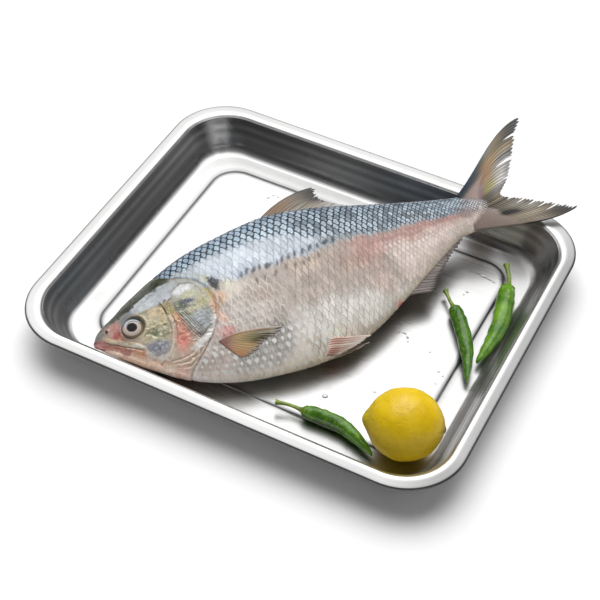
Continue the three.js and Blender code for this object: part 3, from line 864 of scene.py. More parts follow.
def head_tint(s, d):
    n1, n2, n3 = value_noise(s, d, 6, 31), value_noise(s, d, 2.4, 32), value_noise(s, d, 1.2, 33)
    n4, n5 = value_noise(s, d, 5, 34), value_noise(s, d, 2, 35)
    ss, dd = s + 1.0 * n1 + 0.8 * n2 + 0.35 * n3, d + 1.0 * n4 + 0.8 * n5 - 0.35 * n3
    t = Tint(s, (176, 160, 146))
    t.lay(patch(ss, dd, (72, -46), (12, 7), 0, 0.7), (190, 174, 160), 0.8)
    # the cheek behind the eye
    cheek = [(33, -20), (38, 4), (58, 3), (61, -14), (58.5, -30), (52, -33), (44, -26), (34, -24)]
    t.lay(field(ss, dd, cheek, 2.2), (186, 175, 150))
    t.ovals(ss, dd, [
        (51, -1.5, 7, 4, 0, 0.6, 200, 178, 146, 0.8), (43.5, 0.5, 5, 2.4, -15, 0.6, 140, 140, 112, 0.75),
        (57, -9, 3, 8, 0, 0.6, 190, 170, 134, 0.7), (47, -19.5, 7, 5, -20, 0.6, 146, 150, 130, 0.7),
    ])
    t.lay(smooth(0.1, 0.7, n2 + n3) * patch(ss, dd, (48, -18), (10, 8), 0, 0.5), (206, 206, 178), 0.6)
    t.lay(smooth(0.1, 0.7, -n2 - n3) * patch(ss, dd, (48, -20), (10, 8), 0, 0.5), (92, 102, 82), 0.6)
    t.lay(stroke(ss, dd, [(37, -17), (41, -13.6), (50, -14), (57, -14.5), (61, -15)], 0.7, 0.7),
          (224, 210, 176), 0.75)
    t.lay(stroke(ss, dd, [(37, -18.4), (41.5, -15), (50, -15.8), (57, -16.3)], 0.5, 0.6), (128, 112, 82), 0.5)
    t.lay(field(ss, dd, [(34, -25), (44, -26.5), (54, -31.5), (52, -38.5), (45, -39.5), (37, -36)], 2.2),
          (140, 140, 146), 0.95)
    t.lay(patch(ss, dd, (44, -31), (8, 3.5), 0, 0.6), (116, 116, 126), 0.7)
    t.lay(smooth(0.1, 0.8, n3 - n5) * patch(ss, dd, (44, -33), (10, 7), 0, 0.5), (178, 180, 184), 0.6)
    pale_edge = [(34.5, -31), (39, -38), (46, -40.5), (53, -39.5), (49, -43.8), (41, -42), (35.5, -37)]
    t.lay(field(ss, dd, pale_edge, 1.4), (200, 200, 196), 0.8)
    t.lay(stroke(ss, dd, [(33.4, -26.5), (35, -32), (39, -38.2)], 0.8, 0.8), (216, 204, 190), 0.7)
    # the lower jaw
    jaw = [(12, -16), (22, -25.5), (33, -34.5), (38, -38), (43, -43.4), (44, -47), (34, -44), (14, -26)]
    t.lay(field(ss, dd, jaw, 1.8), (188, 161, 142), 0.95)
    t.lay(patch(ss, dd, (43, -44.4), (1.8, 1.1), 0, 0.6), (132, 88, 64), 0.8)
    # the dark crown
    crown = field(ss, dd, [
        (-6, 3.4), (9, 5.8), (20, 6.6), (31.6, 9.5), (37.5, 11), (42, 15), (50, 17.5), (60, 20.3), (73, 21.3),
        (78, 27), (80, 60), (-6, 60)], 1.4)
    t.lay(crown, (106, 109, 102))
    t.lay(crown * smooth(-0.2, 0.9, n1 + 0.5 * n2), (120, 118, 106), 0.55)
    t.lay(crown * smooth(-7, -1, d - back(s) + 3), (128, 124, 112), 0.4)
    t.ovals(ss, dd, [
        (66, 26.5, 9, 4.5, 8, 0.6, 70, 76, 60, 0.8), (30, 13.5, 12, 2.8, 14, 0.6, 78, 82, 74, 0.7),
    ])
    # the smooth grey plate over the skull, with a broken dark edge; its grey is partly the plate's own and partly
    # a painted sheen
    skull = field(s + 0.5 * n3, d + 0.5 * n5, [
        (21.8, 4.6), (25.4, 7), (31.6, 9), (36.6, 11), (41, 14.8), (47, 17), (55, 18.8), (63, 20.8), (82, 21),
        (90, 17.5), (97, 10), (98, 2), (94, 2), (90, 10), (84, 13.5), (76, 12.2), (70, 6), (66, 3.4), (56, 3),
        (46, 3.4), (40, 4), (33, 5.5), (26, 3)], 0.8)
    t.lay(skull, (182, 187, 190))
    t.lay(skull * fade(30, 42, s), (134, 142, 146), 0.75)
    t.lay(skull * smooth(74, 84, s), (170, 170, 166), 0.8)
    # painted sheen: two paler ovals on the plate
    t.ovals(ss, dd, [
        (50, 9.5, 9, 4, 15, 0.6, 204, 208, 212, 0.75), (64, 10.5, 8, 5, 10, 0.6, 178, 181, 188, 0.7),
    ])
    away, _ = from_line(ss, dd, smooth_line([(33, 9.6), (38, 12), (42, 15), (50, 17.6), (60, 20.2), (70, 21.8)]))
    t.lay(fade(0.2, 1.1, away) * smooth(-0.15, 0.3, n2 + 0.5 * n3), (42, 46, 42), 0.8)
    t.lay(stroke(ss, dd, [(72, 21.6), (82, 21.8), (88, 18)], 0.5, 0.6) * smooth(-0.3, 0.2, n2),
          (84, 84, 82), 0.6)
    # snout
    t.lay(patch(ss, dd, (3.5, 3), (7, 4.5), 0, 0.6), (118, 122, 120), 0.85)
    t.lay(field(ss, dd, [(10, 7), (22, 6), (23, -4), (21, -12), (14, -8), (11, -2)], 2.4),
          (196, 156, 150), 0.85)
    t.ovals(ss, dd, [
        (18.5, 0.5, 4, 5, 0, 0.7, 208, 152, 146, 0.5), (17.4, -5.8, 3.4, 2.8, 0, 0.7, 168, 84, 76, 0.8),
        (21.4, -10.6, 3.6, 1.9, -45, 0.7, 170, 120, 90, 0.7),
    ])
    # lips and jaws
    t.lay(stroke(ss, dd, [(0, -0.4), (4, -3.4), (8, -6.8)], 2.2, 1.4), (154, 108, 104), 0.9)
    t.lay(stroke(ss, dd, LIP, 2.0, 1.4), (142, 102, 94), 0.8)
    t.lay(field(ss, dd, LOWER_JAW_SKIN, 1.2), (142, 104, 92), 0.9)
    t.lay(stroke(ss, dd, LIP, 2.4, 1.8), (116, 84, 78), 0.75)
    t.ovals(ss, dd, [
        (28.5, -28.4, 4.8, 2.6, -45, 0.7, 168, 132, 106, 0.75),
        (17, -17.4, 5, 1.6, -45, 0.6, 148, 106, 92, 0.6),
    ])
    t.lay(field(s, d, UPPER_JAW_BONE, 0.9), (176, 166, 150), 0.9)
    t.ovals(ss, dd, [
        (28.6, -22.2, 4, 1.5, -42, 0.7, 226, 220, 206, 0.85), (11, -6, 3.4, 1.6, -50, 0.6, 206, 186, 158, 0.8),
    ])
    t.lay(stroke(ss, dd, UPPER_JAW_BONE[:6], 0.5, 0.5), (140, 122, 76), 0.7)
    # painted shade along the mouth's slit
    t.lay(stroke(s, d, MOUTH, 0.4, 0.5), (98, 74, 60), 0.75)
    t.lay(stroke(s, d, LIP, 0.4, 0.5) * fade(15, 20, s), (122, 70, 66), 0.7)
    # the nostril: painted shade in its pit, and a painted highlight on the rise behind it
    t.ovals(s, d, [
        (10.8, 2.6, 0.8, 1.9, 0, 0.4, 34, 30, 28, 0.9), (12.6, 3, 0.8, 1.3, 0, 0.5, 224, 220, 212, 0.7),
    ])
    # round the eye
    t.lay(stroke(s, d, arc(EYE, 10.0, 40, -165), 0.7, 0.9), (104, 90, 68), 0.6)
    t.lay(stroke(s, d, arc(EYE, 10.0, 40, 175), 0.7, 0.9), (110, 116, 116), 0.6)
    t.lay(stroke(s, d, arc(EYE, 11.5, 10, -90), 0.7, 0.9), (208, 198, 172), 0.5)
    # between the cheek and the gill cover
    t.lay(field(ss, dd, [(59.5, 3.4), (66, 1.2), (70.5, -6), (70.5, -15), (62.5, -16.5), (60.4, -8)], 1.8),
          (158, 144, 100))
    t.lay(patch(ss, dd, (63, -1), (3, 3), 0, 0.6), (118, 112, 84), 0.6)
    t.lay(stroke(ss, dd, [(58.3, 4.2), (58.8, -1), (60, -8.5), (60.4, -13)], 0.7, 0.8), (66, 64, 48), 0.75)
    t.ovals(ss, dd, [
        (62.6, 3.6, 1.4, 1.1, 0, 0.6, 62, 56, 60, 0.85), (67, 2.6, 1.5, 1, 0, 0.6, 70, 66, 70, 0.8),
    ])
    t.lay(stroke(s + 0.3 * n5, d, CHEEK_RIM, 1.6, 1.0), (212, 200, 184), 0.85)
    t.lay(stroke(s, d, shifted(CHEEK_RIM, -2.0, 0.3), 0.35, 0.5), (148, 132, 108), 0.6)
    t.lay(stroke(s, d, shifted(CHEEK_RIM, 0.6), 0.3, 0.5), (164, 144, 126), 0.5)
    t.ovals(ss, dd, [
        (67, -24, 4, 11, 8, 0.7, 206, 158, 138, 0.8), (64.6, -35, 5.6, 9.5, -8, 0.8, 208, 146, 132, 0.95),
        (64.5, -37, 3.0, 5, 0, 0.9, 204, 116, 104, 0.5), (67, -16, 2.2, 4, 0, 0.6, 204, 156, 126, 0.8),
    ])
    # the gill plate
    plate = field(ss, dd, GILL_PLATE, 1.8)
    t.lay(plate, (162, 162, 153))
    t.lay(patch(ss, dd, (80, 8.5), (9.5, 5.5), 0, 0.5) * plate, (214, 215, 215))
    t.ovals(ss, dd, [
        (83, 0, 8, 3, 0, 0.7, 196, 194, 160, 0.75), (91, -11, 4.6, 6, 10, 0.7, 178, 172, 126, 0.7),
        (73, -6, 5, 4.6, 0, 0.6, 92, 98, 78, 0.8),
    ])
    t.lay(patch(s + 0.9 * n2, d + 0.9 * n5, (79.5, -5.4), (5.6, 2.4), -12, 0.4), (62, 74, 100), 0.9)
    t.lay(patch(s + 0.9 * n2, d + 0.9 * n5, (75.2, -9.6), (4.2, 3), 0, 0.5), (78, 88, 84), 0.85)
    t.lay(patch(ss, dd, (81.5, -14.5), (7, 3.6), 0, 0.7), (190, 182, 154), 0.8)
    t.lay(smooth(0, 0.8, n3 + n2) * patch(ss, dd, (81, -14), (9, 5), 0, 0.6), (98, 102, 74), 0.55)
    t.lay(patch(ss, dd, (85.5, -27), (9, 9), -15, 0.6) * plate, (160, 163, 166), 0.9)
    t.lay(patch(ss, dd, (83.5, -21.5), (4.4, 3.4), 0, 0.8), (182, 187, 192), 0.75)
    ribs, run = from_line(s, d, smooth_line(GILL_RIBS))
    rib_shade = (0.5 - 0.5 * np.sin(ribs * 2 * math.pi / RIB_GAP)) * fade(4, 7.5, ribs) * (s > 68)
    t.lay(rib_shade * smooth(0.02, 0.15, run), (92, 90, 88), 0.6)
    t.lay(fade(0.2, 0.6, np.abs(ribs - 0.9)) * smooth(0.1, 0.3, run) * (s > 68), (206, 204, 198), 0.45)
    t.lay(stroke(ss, dd, [(67.8, -10.8), (69, -21), (71, -30.8), (73.4, -37)], 0.5, 0.5), (146, 74, 66), 0.6)
    broken = smooth(-0.35, 0.15, n2 + 0.4 * n3)
    t.lay(stroke(s + 0.25 * n3, d + 0.25 * n5, GILL_PLATE[:7], 0.3, 0.5) * broken, (58, 60, 60), 0.7)
    t.lay(stroke(ss, dd, [(95.4, -26.5), (90.2, -33.8), (84.6, -37), (79.2, -39.8)], 0.7, 0.9),
          (128, 126, 122), 0.6)
    t.lay(patch(ss, dd, (78.6, -37.6), (3, 2.2), 0, 0.7), (122, 110, 108), 0.7)
    # the soft rim behind it
    t.lay(stroke(ss, dd, [(80, 17.5), (88, 15.2), (94.8, 8), (97.4, -1)], 2.2, 1.4), (172, 172, 162), 0.8)
    t.lay(stroke(ss, dd, [(97.6, -1), (99, -8), (99.6, -14)], 1.6, 1.2), (176, 170, 98), 0.8)
    t.lay(stroke(ss, dd, [(97.4, -14), (98, -22), (96.6, -28)], 1.8, 1.4), (206, 166, 140), 0.8)
    t.lay(stroke(ss, dd, [(72, -46), (79, -44.4), (86, -41.4), (92, -36.4), (96.2, -30)], 3.4, 1.6),
          (222, 219, 216), 0.95)
    for shift in (0, 1.9, 3.6):
        t.lay(stroke(ss, dd, [(76 + shift, -46.5), (86 + shift, -43.5), (93.5 + shift, -35.5)], 0.3, 0.5),
              (160, 148, 138), 0.55)
    t.lay(stroke(ss, dd, [(82, -50), (76, -56), (68, -60), (58, -64)], 4, 4), (164, 150, 142), 0.85)
    # painted shade along each throat fold, and a painted highlight along the ridge beside it
    for fold in THROAT_FOLDS:
        t.lay(stroke(ss, dd, fold, 0.6, 0.9), (140, 112, 92), 0.6)
        t.lay(stroke(ss, dd, shifted(fold, 0.8, -1.2), 0.6, 0.8), (222, 204, 186), 0.45)
    t.lay(patch(ss, dd, (55, -57), (7, 3), -38, 0.6), (180, 142, 130), 0.6)
    speckle = smooth(0.15, 0.75, n3 * 0.8 + n5 * 0.6)
    olive = field(s, d, [(36, 3), (60, 4), (70, 0), (96, 0), (96, -16), (70, -20), (60, -26), (36, -26)], 3)
    t.lay(speckle * olive, (92, 92, 74), 0.32)
    t.lay(smooth(0.15, 0.8, value_noise(s, d, 0.9, 36)) * olive, (226, 220, 190), 0.35)
    t.darken(smooth(0.1, 0.9, n2), 0.9)
    return t.colour


def fish_head(skin):
    shares, sides = girth_ring(*HEAD_GIRTH)
    edge = head_edge(shares)
    run = np.linspace(0, 1, HEAD_STATIONS + 1) ** NOSE_CROWDING
    s = run[:, None] * edge[None, :]
    share, d, base, out = skin_rings(s, shares, sides)
    calm = smooth(0, 0.04, share) * smooth(0, 0.04, 1 - share) * smooth(0, 6, s)
    before_edge = edge[None, :] - s
    gill = smooth(0.08, 0.2, share) * (1 - 0.6 * smooth(0.9, 1.0, share))
    raised = head_relief(s, d) * calm + fade(0, 9, before_edge) * gill * 0.25 + 0.06
    raised -= 0.35 * fade(0, 1.6, before_edge) * smooth(0.02, 0.1, share)
    grid = base + out * raised[..., None]
    # the edge turns in and runs forward under itself, and the nose is rounded off
    turned_in = base[-1] - out[-1] * 1.4
    under = [turned_in, lerp(turned_in, place(50.0, -8.0, 0.0), 0.3)]
    nose = grid[0].mean(axis=0)
    ahead = place(-0.9, 0.0, 0.0) - place(0.0, 0.0, 0.0)
    front = [nose + (grid[0] - nose) * 0.55 + ahead, nose + (grid[0] - nose) * 0.86 + ahead * 0.5]
    grid = np.concatenate([np.array(front), grid, np.array(under)])
    grid[..., 2] = np.maximum(grid[..., 2], PRESSED)
    rows, columns = grid.shape[:2]
    points, faces = list(grid.reshape(-1, 3)), strip_faces(rows, columns)
    shut_ends(points, faces, columns)
    colour = unlit(head_tint(s, d), s, share)
    # painted shade: the two rings turned in under the head's edge are darkened
    colour = np.concatenate([colour[:1], colour[:1], colour, colour[-1:] * 0.8, colour[-1:] * 0.5])
    piece = mesh_piece("fish_head", points, faces, {"ground": with_ends(colour)})
    return finish(piece, skin, ["fish"])


# --- eyes and fins ------------------------------------------------------------------------------------------


# how far out of the middle plane the eye's centre lies, its radius and its depth as a share of that
EYE_OUT, EYE_RADIUS, EYE_FLATNESS = 13.3, 9.9, 0.4


def fish_eye(name, side, eye_finish):
    """A flattened ball, set in the head and looking out of the flank."""
    def at(s, d, w):
        return Vector(to_row(place(s, d, side * w, lowest=FREE)))

    centre, pupil = at(*EYE, EYE_OUT), at(*PUPIL, EYE_OUT)
    out = (at(*EYE, EYE_OUT + 2) - centre).normalized()
    up = (at(EYE[0], EYE[1] + 2, EYE_OUT) - centre).normalized()
    lay_down_tools()
    bpy.ops.mesh.primitive_uv_sphere_add(segments=80, ring_count=80, radius=EYE_RADIUS * MM, location=centre)
    ball = bpy.context.object
    ball.name = ball.data.name = name
    ball.rotation_mode = "QUATERNION"
    ball.rotation_quaternion = Vector((0, 0, 1)).rotation_difference(out)
    squeeze(ball, (1, 1, EYE_FLATNESS))

    def away(point, middle):
        arm = point - middle
        return (arm - arm.dot(out) * out).length / MM

    points = [v.co.copy() for v in ball.data.vertices]
    keep_values(ball, "from_pupil", [away(p, pupil) for p in points])
    keep_values(ball, "from_middle", [away(p, centre) for p in points])
    keep_values(ball, "upward", [(p - centre).dot(up) / MM for p in points])
    return finish(ball, eye_finish, ["fish"])


# the room's light on a fin, taken out of its colours
FIN_LIGHT = 1.15
# share of a fin's thickness that its rays add
RAY_SHARE = 0.35


def fin_sheet(name, root, edge, thick, bow, side, rays, columns, rows, end_at, fin_finish, colour_of):
    """A closed sheet from a root line to an edge line, ribbed by its rays; end_at(t) is where each ray stops."""
    t = np.linspace(0, 1, rays * columns + 1)[:, None]
    r = np.linspace(0, 1, rows + 1)[None, :] * end_at(t)
    t = t + 0 * r
    a, b = along(root, t), along(edge, t)
    s, d = lerp(a[0], b[0], r), lerp(a[1], b[1], r) + bow(t, r)
    rib = 0.5 - 0.5 * np.cos(2 * math.pi * np.mod(t * rays, 1))
    thickness = lerp(thick[0], thick[1], np.minimum(r, 1)) * (1 - RAY_SHARE + RAY_SHARE * rib)
    w = side(s, d, t, r)
    upper = place(s, d, w + thickness / 2, REST + 0.1)
    upper[..., 2] = np.maximum(upper[..., 2], REST + thickness)
    lower = place(s, d, w - thickness / 2, REST)
    ring = np.concatenate([upper, lower[:, ::-1]], axis=1)
    count, width = ring.shape[:2]

    def end_faces(first):
        return [(first + j, first + j + 1, first + width - 2 - j, first + width - 1 - j) for j in range(rows)]

    def both(values):
        """The upper face's values, and the same again for the lower face."""
        return np.concatenate([values, values[:, ::-1]], axis=1).reshape(-1, 3)

    faces = strip_faces(count, width)
    faces += [tuple(reversed(f)) for f in end_faces(0)] + end_faces((count - 1) * width)
    colours = np.clip((colour_of(t, r, s, d) - SHEEN) / FIN_LIGHT, DARKEST_SKIN, PALEST_FIN)
    piece = mesh_piece(name, list(ring.reshape(-1, 3)), faces, {
        "ground": both(colours), "ray_place": both(np.stack([t * rays, r, 0 * r], -1))})
    bpy.ops.object.mode_set(mode="EDIT")
    face_outwards()
    return finish(piece, fin_finish, ["fish"])


def flat_side(s, d, t, r):
    return 0 * s


def ragged(rays, depth, seed, slits=()):
    """Ray ends of uneven length, notched between rays, with deeper slits at some places."""
    random = np.random.RandomState(seed).uniform(-1, 1, rays + 2)

    def end_at(t):
        ray = t * rays
        near = np.abs(np.mod(ray, 1) - 0.5) * 2
        own = random[np.clip(np.floor(ray).astype(int), 0, rays)]
        end = 1 - depth * (0.5 * near**2 + 0.35 * (0.5 + 0.5 * own))
        for at, deep, wide in slits:
            end = end - deep * np.clip(1 - np.abs(t - at) / wide, 0, 1) ** 0.5
        return end

    return end_at


# the fins' root and edge lines, in s and d, and how bright they are in the end
UPPER_LOBE_LEVEL, LOWER_LOBE_LEVEL, VENT_FIN_LEVEL, BELLY_FIN_LEVEL = 1.24, 0.84, 0.66, 1.45
TAIL_ROOT = [(350, 17.5), (351, 9), (351, -2), (351, -12), (350, -20)]
TAIL_EDGE = [(435, 59.5), (423, 45), (411.5, 27.5), (399, 11.5), (388, 1), (401, -9), (416, -19.5), (431, -31),
             (446, -41.2)]


def tail_bow(t, r):
    """How far a ray bends off the straight line, here with the lobes bowed away from the fork."""
    return np.where(t < 0.5, 52, 34) * (1 - 2 * t) * r * r * (1 - r)


def tail_tint(t, r, s, d):
    c = Tint(t, (176, 158, 128))
    streak = value_noise(t * 90, r * 3, 1.6, 41)
    fine = value_noise(t * 260, r * 4, 1.4, 42)
    broad = value_noise(t * 26, r * 3, 1.3, 46)
    upper = t < 0.5
    edge = np.minimum(t, 1 - t)
    c.lay(smooth(0.2, 0.9, streak), (198, 182, 148), 0.7)
    c.lay(smooth(0.3, 0.9, -streak) * upper, (160, 122, 94), 0.55)
    c.lay(patch(t, r, (0.2, 0.42), (0.09, 0.24), 0, 0.6), (184, 144, 112), 0.6)
    c.lay(fade(0.04, 0.1, t) * fade(0.5, 0.7, r), (150, 160, 162), 0.85)
    c.lay(smooth(0.55, 0.85, r) * smooth(0.16, 0.24, t) * fade(0.42, 0.48, t), (206, 204, 206), 0.8)
    c.lay(smooth(0.0, 0.7, broad) * smooth(0.55, 0.8, r) * upper, (104, 108, 112), 0.6)
    c.ovals(t, r, [
        (0.36, 0.5, 0.05, 0.22, 0, 0.6, 170, 164, 104, 0.65), (0.44, 0.62, 0.04, 0.4, 0, 0.7, 70, 74, 78, 0.7),
    ])
    c.lay(smooth(0.5, 0.9, r) * fade(0.08, 0.2, t), (66, 70, 72), 0.9)
    # the lower lobe: dark streaks above, pale below, black at the end
    c.lay(smooth(0.53, 0.6, t) * fade(0.76, 0.88, t), (132, 126, 112), 0.85)
    c.lay(smooth(-0.3, 0.3, broad + 0.5 * streak) * smooth(0.53, 0.58, t) * fade(0.74, 0.84, t),
          (58, 62, 64), 0.85)
    c.lay(smooth(0.1, 0.6, -broad) * smooth(0.6, 0.66, t) * smooth(0.45, 0.8, r), (196, 190, 176), 0.6)
    c.lay(patch(t, r, (0.6, 0.32), (0.05, 0.2), 0, 0.6), (74, 88, 102), 0.7)
    c.lay(smooth(0.76, 0.84, t) * fade(0.72, 0.92, r), (212, 198, 178), 0.9)
    c.lay(smooth(0.6, 0.9, r) * smooth(0.82, 0.93, t), (66, 62, 58), 0.9)
    c.lay(smooth(0.94, 0.98, t) * fade(0.5, 0.7, r), (204, 184, 170), 0.8)
    c.lay(patch(t, r, (0.5, 0.5), (0.03, 0.45), 0, 0.6), (58, 60, 62), 0.75)
    c.lay(fade(0.2, 0.36, r + 0.05 * streak), (190, 170, 166), 0.8)
    c.lay(fade(0.28, 0.44, r + 0.05 * broad) * smooth(0.48, 0.56, t), (216, 200, 196), 0.8)
    c.lay(fade(0.16, 0.34, r + 0.04 * broad) * fade(0.04, 0.16, t), (78, 94, 108), 0.75)
    c.lay(fade(0.004, 0.012, edge), (48, 50, 52), 0.85)
    c.lay(smooth(0.84, 0.98, r + 0.06 * streak), (90, 92, 92), 0.5)
    c.darken(smooth(0.1, 0.8, fine), 0.66)
    c.lay(fade(0.36, 0.46, r + 0.06 * broad + 0.03 * streak) * smooth(0.14, 0.24, t), (204, 187, 182), 0.85)
    c.lay(fade(0.4, 0.5, r + 0.05 * broad) * smooth(0.55, 0.66, t), (232, 216, 208), 0.85)
    c.lay(patch(t, r, (0.36, 0.4), (0.1, 0.07), 0, 0.8), (150, 126, 132), 0.7)
    c.lay(fade(0.26, 0.5, r + 0.06 * broad) * fade(0.12, 0.22, t), (98, 114, 128), 0.8)
    return c.colour * np.where(upper, UPPER_LOBE_LEVEL, LOWER_LOBE_LEVEL)[..., None]


BACK_FIN_ROOT = [(163, 54), (186, 56), (210, 53), (233, 47), (256, 40)]
BACK_FIN_EDGE = [(239, 80.5), (236.5, 71.5), (240, 64), (250, 55), (265, 46)]


def back_fin_tint(t, r, s, d):
    c = Tint(t, (158, 148, 134))
    streak = value_noise(t * 80, r * 3, 1.5, 43)
    c.lay(smooth(0, 0.8, streak), (188, 180, 166), 0.7)
    c.lay(patch(t, r, (0.12, 0.3), (0.14, 0.35), 0, 0.6), (152, 120, 92), 0.75)
    c.lay(smooth(0.5, 0.9, r + 0.08 * streak) * fade(0.4, 0.6, t), (44, 46, 48), 0.85)
    c.lay(smooth(0.5, 0.7, t), (184, 182, 180), 0.75)
    c.lay(smooth(0.1, 0.7, -streak) * smooth(0.5, 0.7, t) * smooth(0.3, 0.8, r), (90, 92, 96), 0.6)
    c.lay(fade(0, 0.25, r), (104, 104, 100), 0.6)
    c.lay(fade(0.01, 0.03, t), (62, 58, 54), 0.7)
    c.darken(smooth(0.2, 0.8, -streak), 0.6)
    return c.colour


VENT_FIN_ROOT = [(258, -56), (276, -46), (296, -36), (316, -25), (334, -17)]
VENT_FIN_EDGE = [(292, -61.5), (299, -51), (309, -42), (321, -33.5), (338, -23)]


def vent_fin_tint(t, r, s, d):
    c = Tint(t, (150, 138, 132))
    streak = value_noise(t * 70, r * 3, 1.5, 44)
    c.lay(fade(0, 0.35, r), (196, 176, 166), 0.8)
    c.lay(smooth(0, 0.8, streak), (96, 90, 90), 0.75)
    c.lay(smooth(0.3, 0.9, -streak), (196, 186, 178), 0.6)
    c.lay(smooth(0.7, 0.98, r), (104, 98, 98), 0.7)
    return c.colour * VENT_FIN_LEVEL


BREAST_FIN_ROOT = [(89.5, -49.6), (91, -52), (92.5, -54.5), (95, -58.6)]
BREAST_FIN_EDGE = [(146.4, -58.6), (141, -61), (131, -63.6), (121, -66.4), (110, -69.9), (102, -68.8)]


def breast_fin_bow(t, r):
    return 5.4 * (1 - t) * r * (1 - r) * 4 / (1 + 2 * r)


def breast_fin_tint(t, r, s, d):
    c = Tint(t, (190, 158, 118))
    streak = value_noise(t * 40, r * 2.5, 1.4, 45)
    c.ovals(s, d, [
        (93, -54, 8, 6, 0, 0.7, 172, 128, 122, 0.9), (101, -65, 7, 6, 0, 0.8, 204, 138, 112, 0.8),
        (108, -60, 8, 7, 0, 0.8, 198, 168, 120, 0.7),
    ])
    c.lay(patch(s + 2 * streak, d + streak, (124, -59.4), (11, 4.6), -8, 0.6), (62, 60, 34), 0.95)
    c.lay(patch(s + 2 * streak, d, (114, -56.4), (9, 3), -4, 0.7), (146, 138, 92), 0.7)
    c.lay(smooth(130, 139, s + 2 * streak), (178, 172, 164), 0.8)
    c.lay(smooth(0, 0.7, streak) * smooth(116, 126, s), (186, 184, 174), 0.6)
    c.lay(patch(s, d, (119, -66.5), (13, 2.6), 14, 0.8), (176, 164, 150), 0.8)
    c.lay(fade(0.03, 0.07, t), (208, 190, 176), 0.8)
    c.lay(smooth(0.07, 0.09, t) * fade(0.11, 0.14, t), (120, 92, 76), 0.6)
    return c.colour


BELLY_FIN_ROOT = [(174.7, -78), (173, -82), (171, -86), (169.5, -88.8)]
BELLY_FIN_EDGE = [(216, -85), (207, -87.6), (196, -89.4), (182, -90.6)]


def belly_fin_tint(t, r, s, d):
    c = Tint(t, (206, 184, 174))
    streak = value_noise(t * 24, r * 2, 1.4, 47)
    c.lay(patch(t, r, (0.4, 0.16), (0.6, 0.26), 0, 0.6), (188, 140, 130), 0.75)
    c.lay(smooth(0, 0.7, streak), (172, 134, 124), 0.5)
    c.lay(patch(t, r, (0.95, 0.3), (0.3, 0.4), 0, 0.6), (168, 120, 110), 0.7)
    c.lay(smooth(0.6, 0.9, r), (220, 214, 208), 0.7)
    c.lay(stroke(t, r, [(0.5, 0), (0.4, 0.8)], 0.04, 0.05), (232, 222, 214), 0.7)
    c.lay(fade(0.02, 0.16, r), (206, 190, 178), 0.9)
    return c.colour * BELLY_FIN_LEVEL


def fish_fins(fin_finish):
    def straight(t, r):
        return 0 * r

    def back_fin_bow(t, r):
        return 34 * (1 - t) ** 2 * r * (1 - r)

    tail_slits = [(0.105, 0.2, 0.008), (0.245, 0.3, 0.010), (0.36, 0.1, 0.006), (0.58, 0.12, 0.007),
                  (0.66, 0.16, 0.008), (0.735, 0.15, 0.008), (0.8, 0.13, 0.007), (0.865, 0.16, 0.008)]
    breast_slits = [(0.12, 0.1, 0.025), (0.3, 0.12, 0.025), (0.45, 0.06, 0.02)]
    fin_sheet("tail_fin", TAIL_ROOT, TAIL_EDGE, (7, 0.7), tail_bow, flat_side, 44, 10, 60,
              ragged(44, 0.07, 51, tail_slits), fin_finish, tail_tint)
    fin_sheet("back_fin", BACK_FIN_ROOT, BACK_FIN_EDGE, (3, 0.6), back_fin_bow, flat_side, 19, 8, 30,
              ragged(19, 0.12, 52, [(0.3, 0.1, 0.02), (0.55, 0.1, 0.02)]), fin_finish, back_fin_tint)
    fin_sheet("vent_fin", VENT_FIN_ROOT, VENT_FIN_EDGE, (2.4, 0.5), straight, flat_side, 20, 6, 16,
              ragged(20, 0.4, 53), fin_finish, vent_fin_tint)
    for name, sign in (("upper", 1), ("lower", -1)):
        def on_flank(s, d, t, r):
            return sign * (flank(s, d) + 0.1 + 0.7 * np.sin(np.minimum(r, 1) * math.pi / 2))

        def at_keel(s, d, t, r):
            least = lerp(lerp(11, 3, t), lerp(5, 2, t), r)
            return sign * (np.maximum(flank(s, d), least) + lerp(-1.4, 0.5, smooth(0, 0.22, r)))

        fin_sheet("breast_fin_" + name, BREAST_FIN_ROOT, BREAST_FIN_EDGE, (1.3, 0.3), breast_fin_bow, on_flank,
                  14, 8, 40, ragged(14, 0.22, 54, breast_slits), fin_finish, breast_fin_tint)
        fin_sheet("belly_fin_" + name, BELLY_FIN_ROOT, BELLY_FIN_EDGE, (2.2, 0.5), straight, at_keel,
                  8, 6, 20, ragged(8, 0.16, 55), fin_finish, belly_fin_tint)


# --- drawn pieces: tray and chillies ------------------------------------------------------------------------


def drawn(name, rings, close_start=True):
    """A skin drawn out ring by ring from a circle of points, by extruding its edge."""
    lay_down_tools()
    bpy.ops.mesh.primitive_circle_add(vertices=len(rings[0]), radius=MM, fill_type="NOTHING")
    piece = bpy.context.object
    piece.name = piece.data.name = name
    for vertex, point in zip(piece.data.vertices, to_row(rings[0])):
        vertex.co = point
    bpy.ops.object.mode_set(mode="EDIT")
    bpy.ops.mesh.select_all(action="SELECT")
    bm = bmesh.from_edit_mesh(piece.data)
    place_in_ring = {v: k for k, v in enumerate(bm.verts)}
    for ring in rings[1:]:
        bpy.ops.mesh.extrude_region_move()
        bm = bmesh.from_edit_mesh(piece.data)
        target = to_row(ring)
        now = {}
        for v in [v for v in bm.verts if v.select]:
            before = next(e.other_vert(v) for e in v.link_edges if e.other_vert(v) in place_in_ring)
            now[v] = place_in_ring[before]
        for v, k in now.items():
            v.co = target[k]
        place_in_ring = now
    bpy.ops.mesh.edge_face_add()
    if close_start:
        bm = bmesh.from_edit_mesh(piece.data)
        bm.verts.ensure_lookup_table()
        bpy.ops.mesh.select_all(action="DESELECT")
        for k in range(len(rings[0])):
            bm.verts[k].select_set(True)
        bm.select_flush_mode()
        bpy.ops.mesh.edge_face_add()
    face_outwards()
    bpy.ops.object.shade_smooth()
    return piece


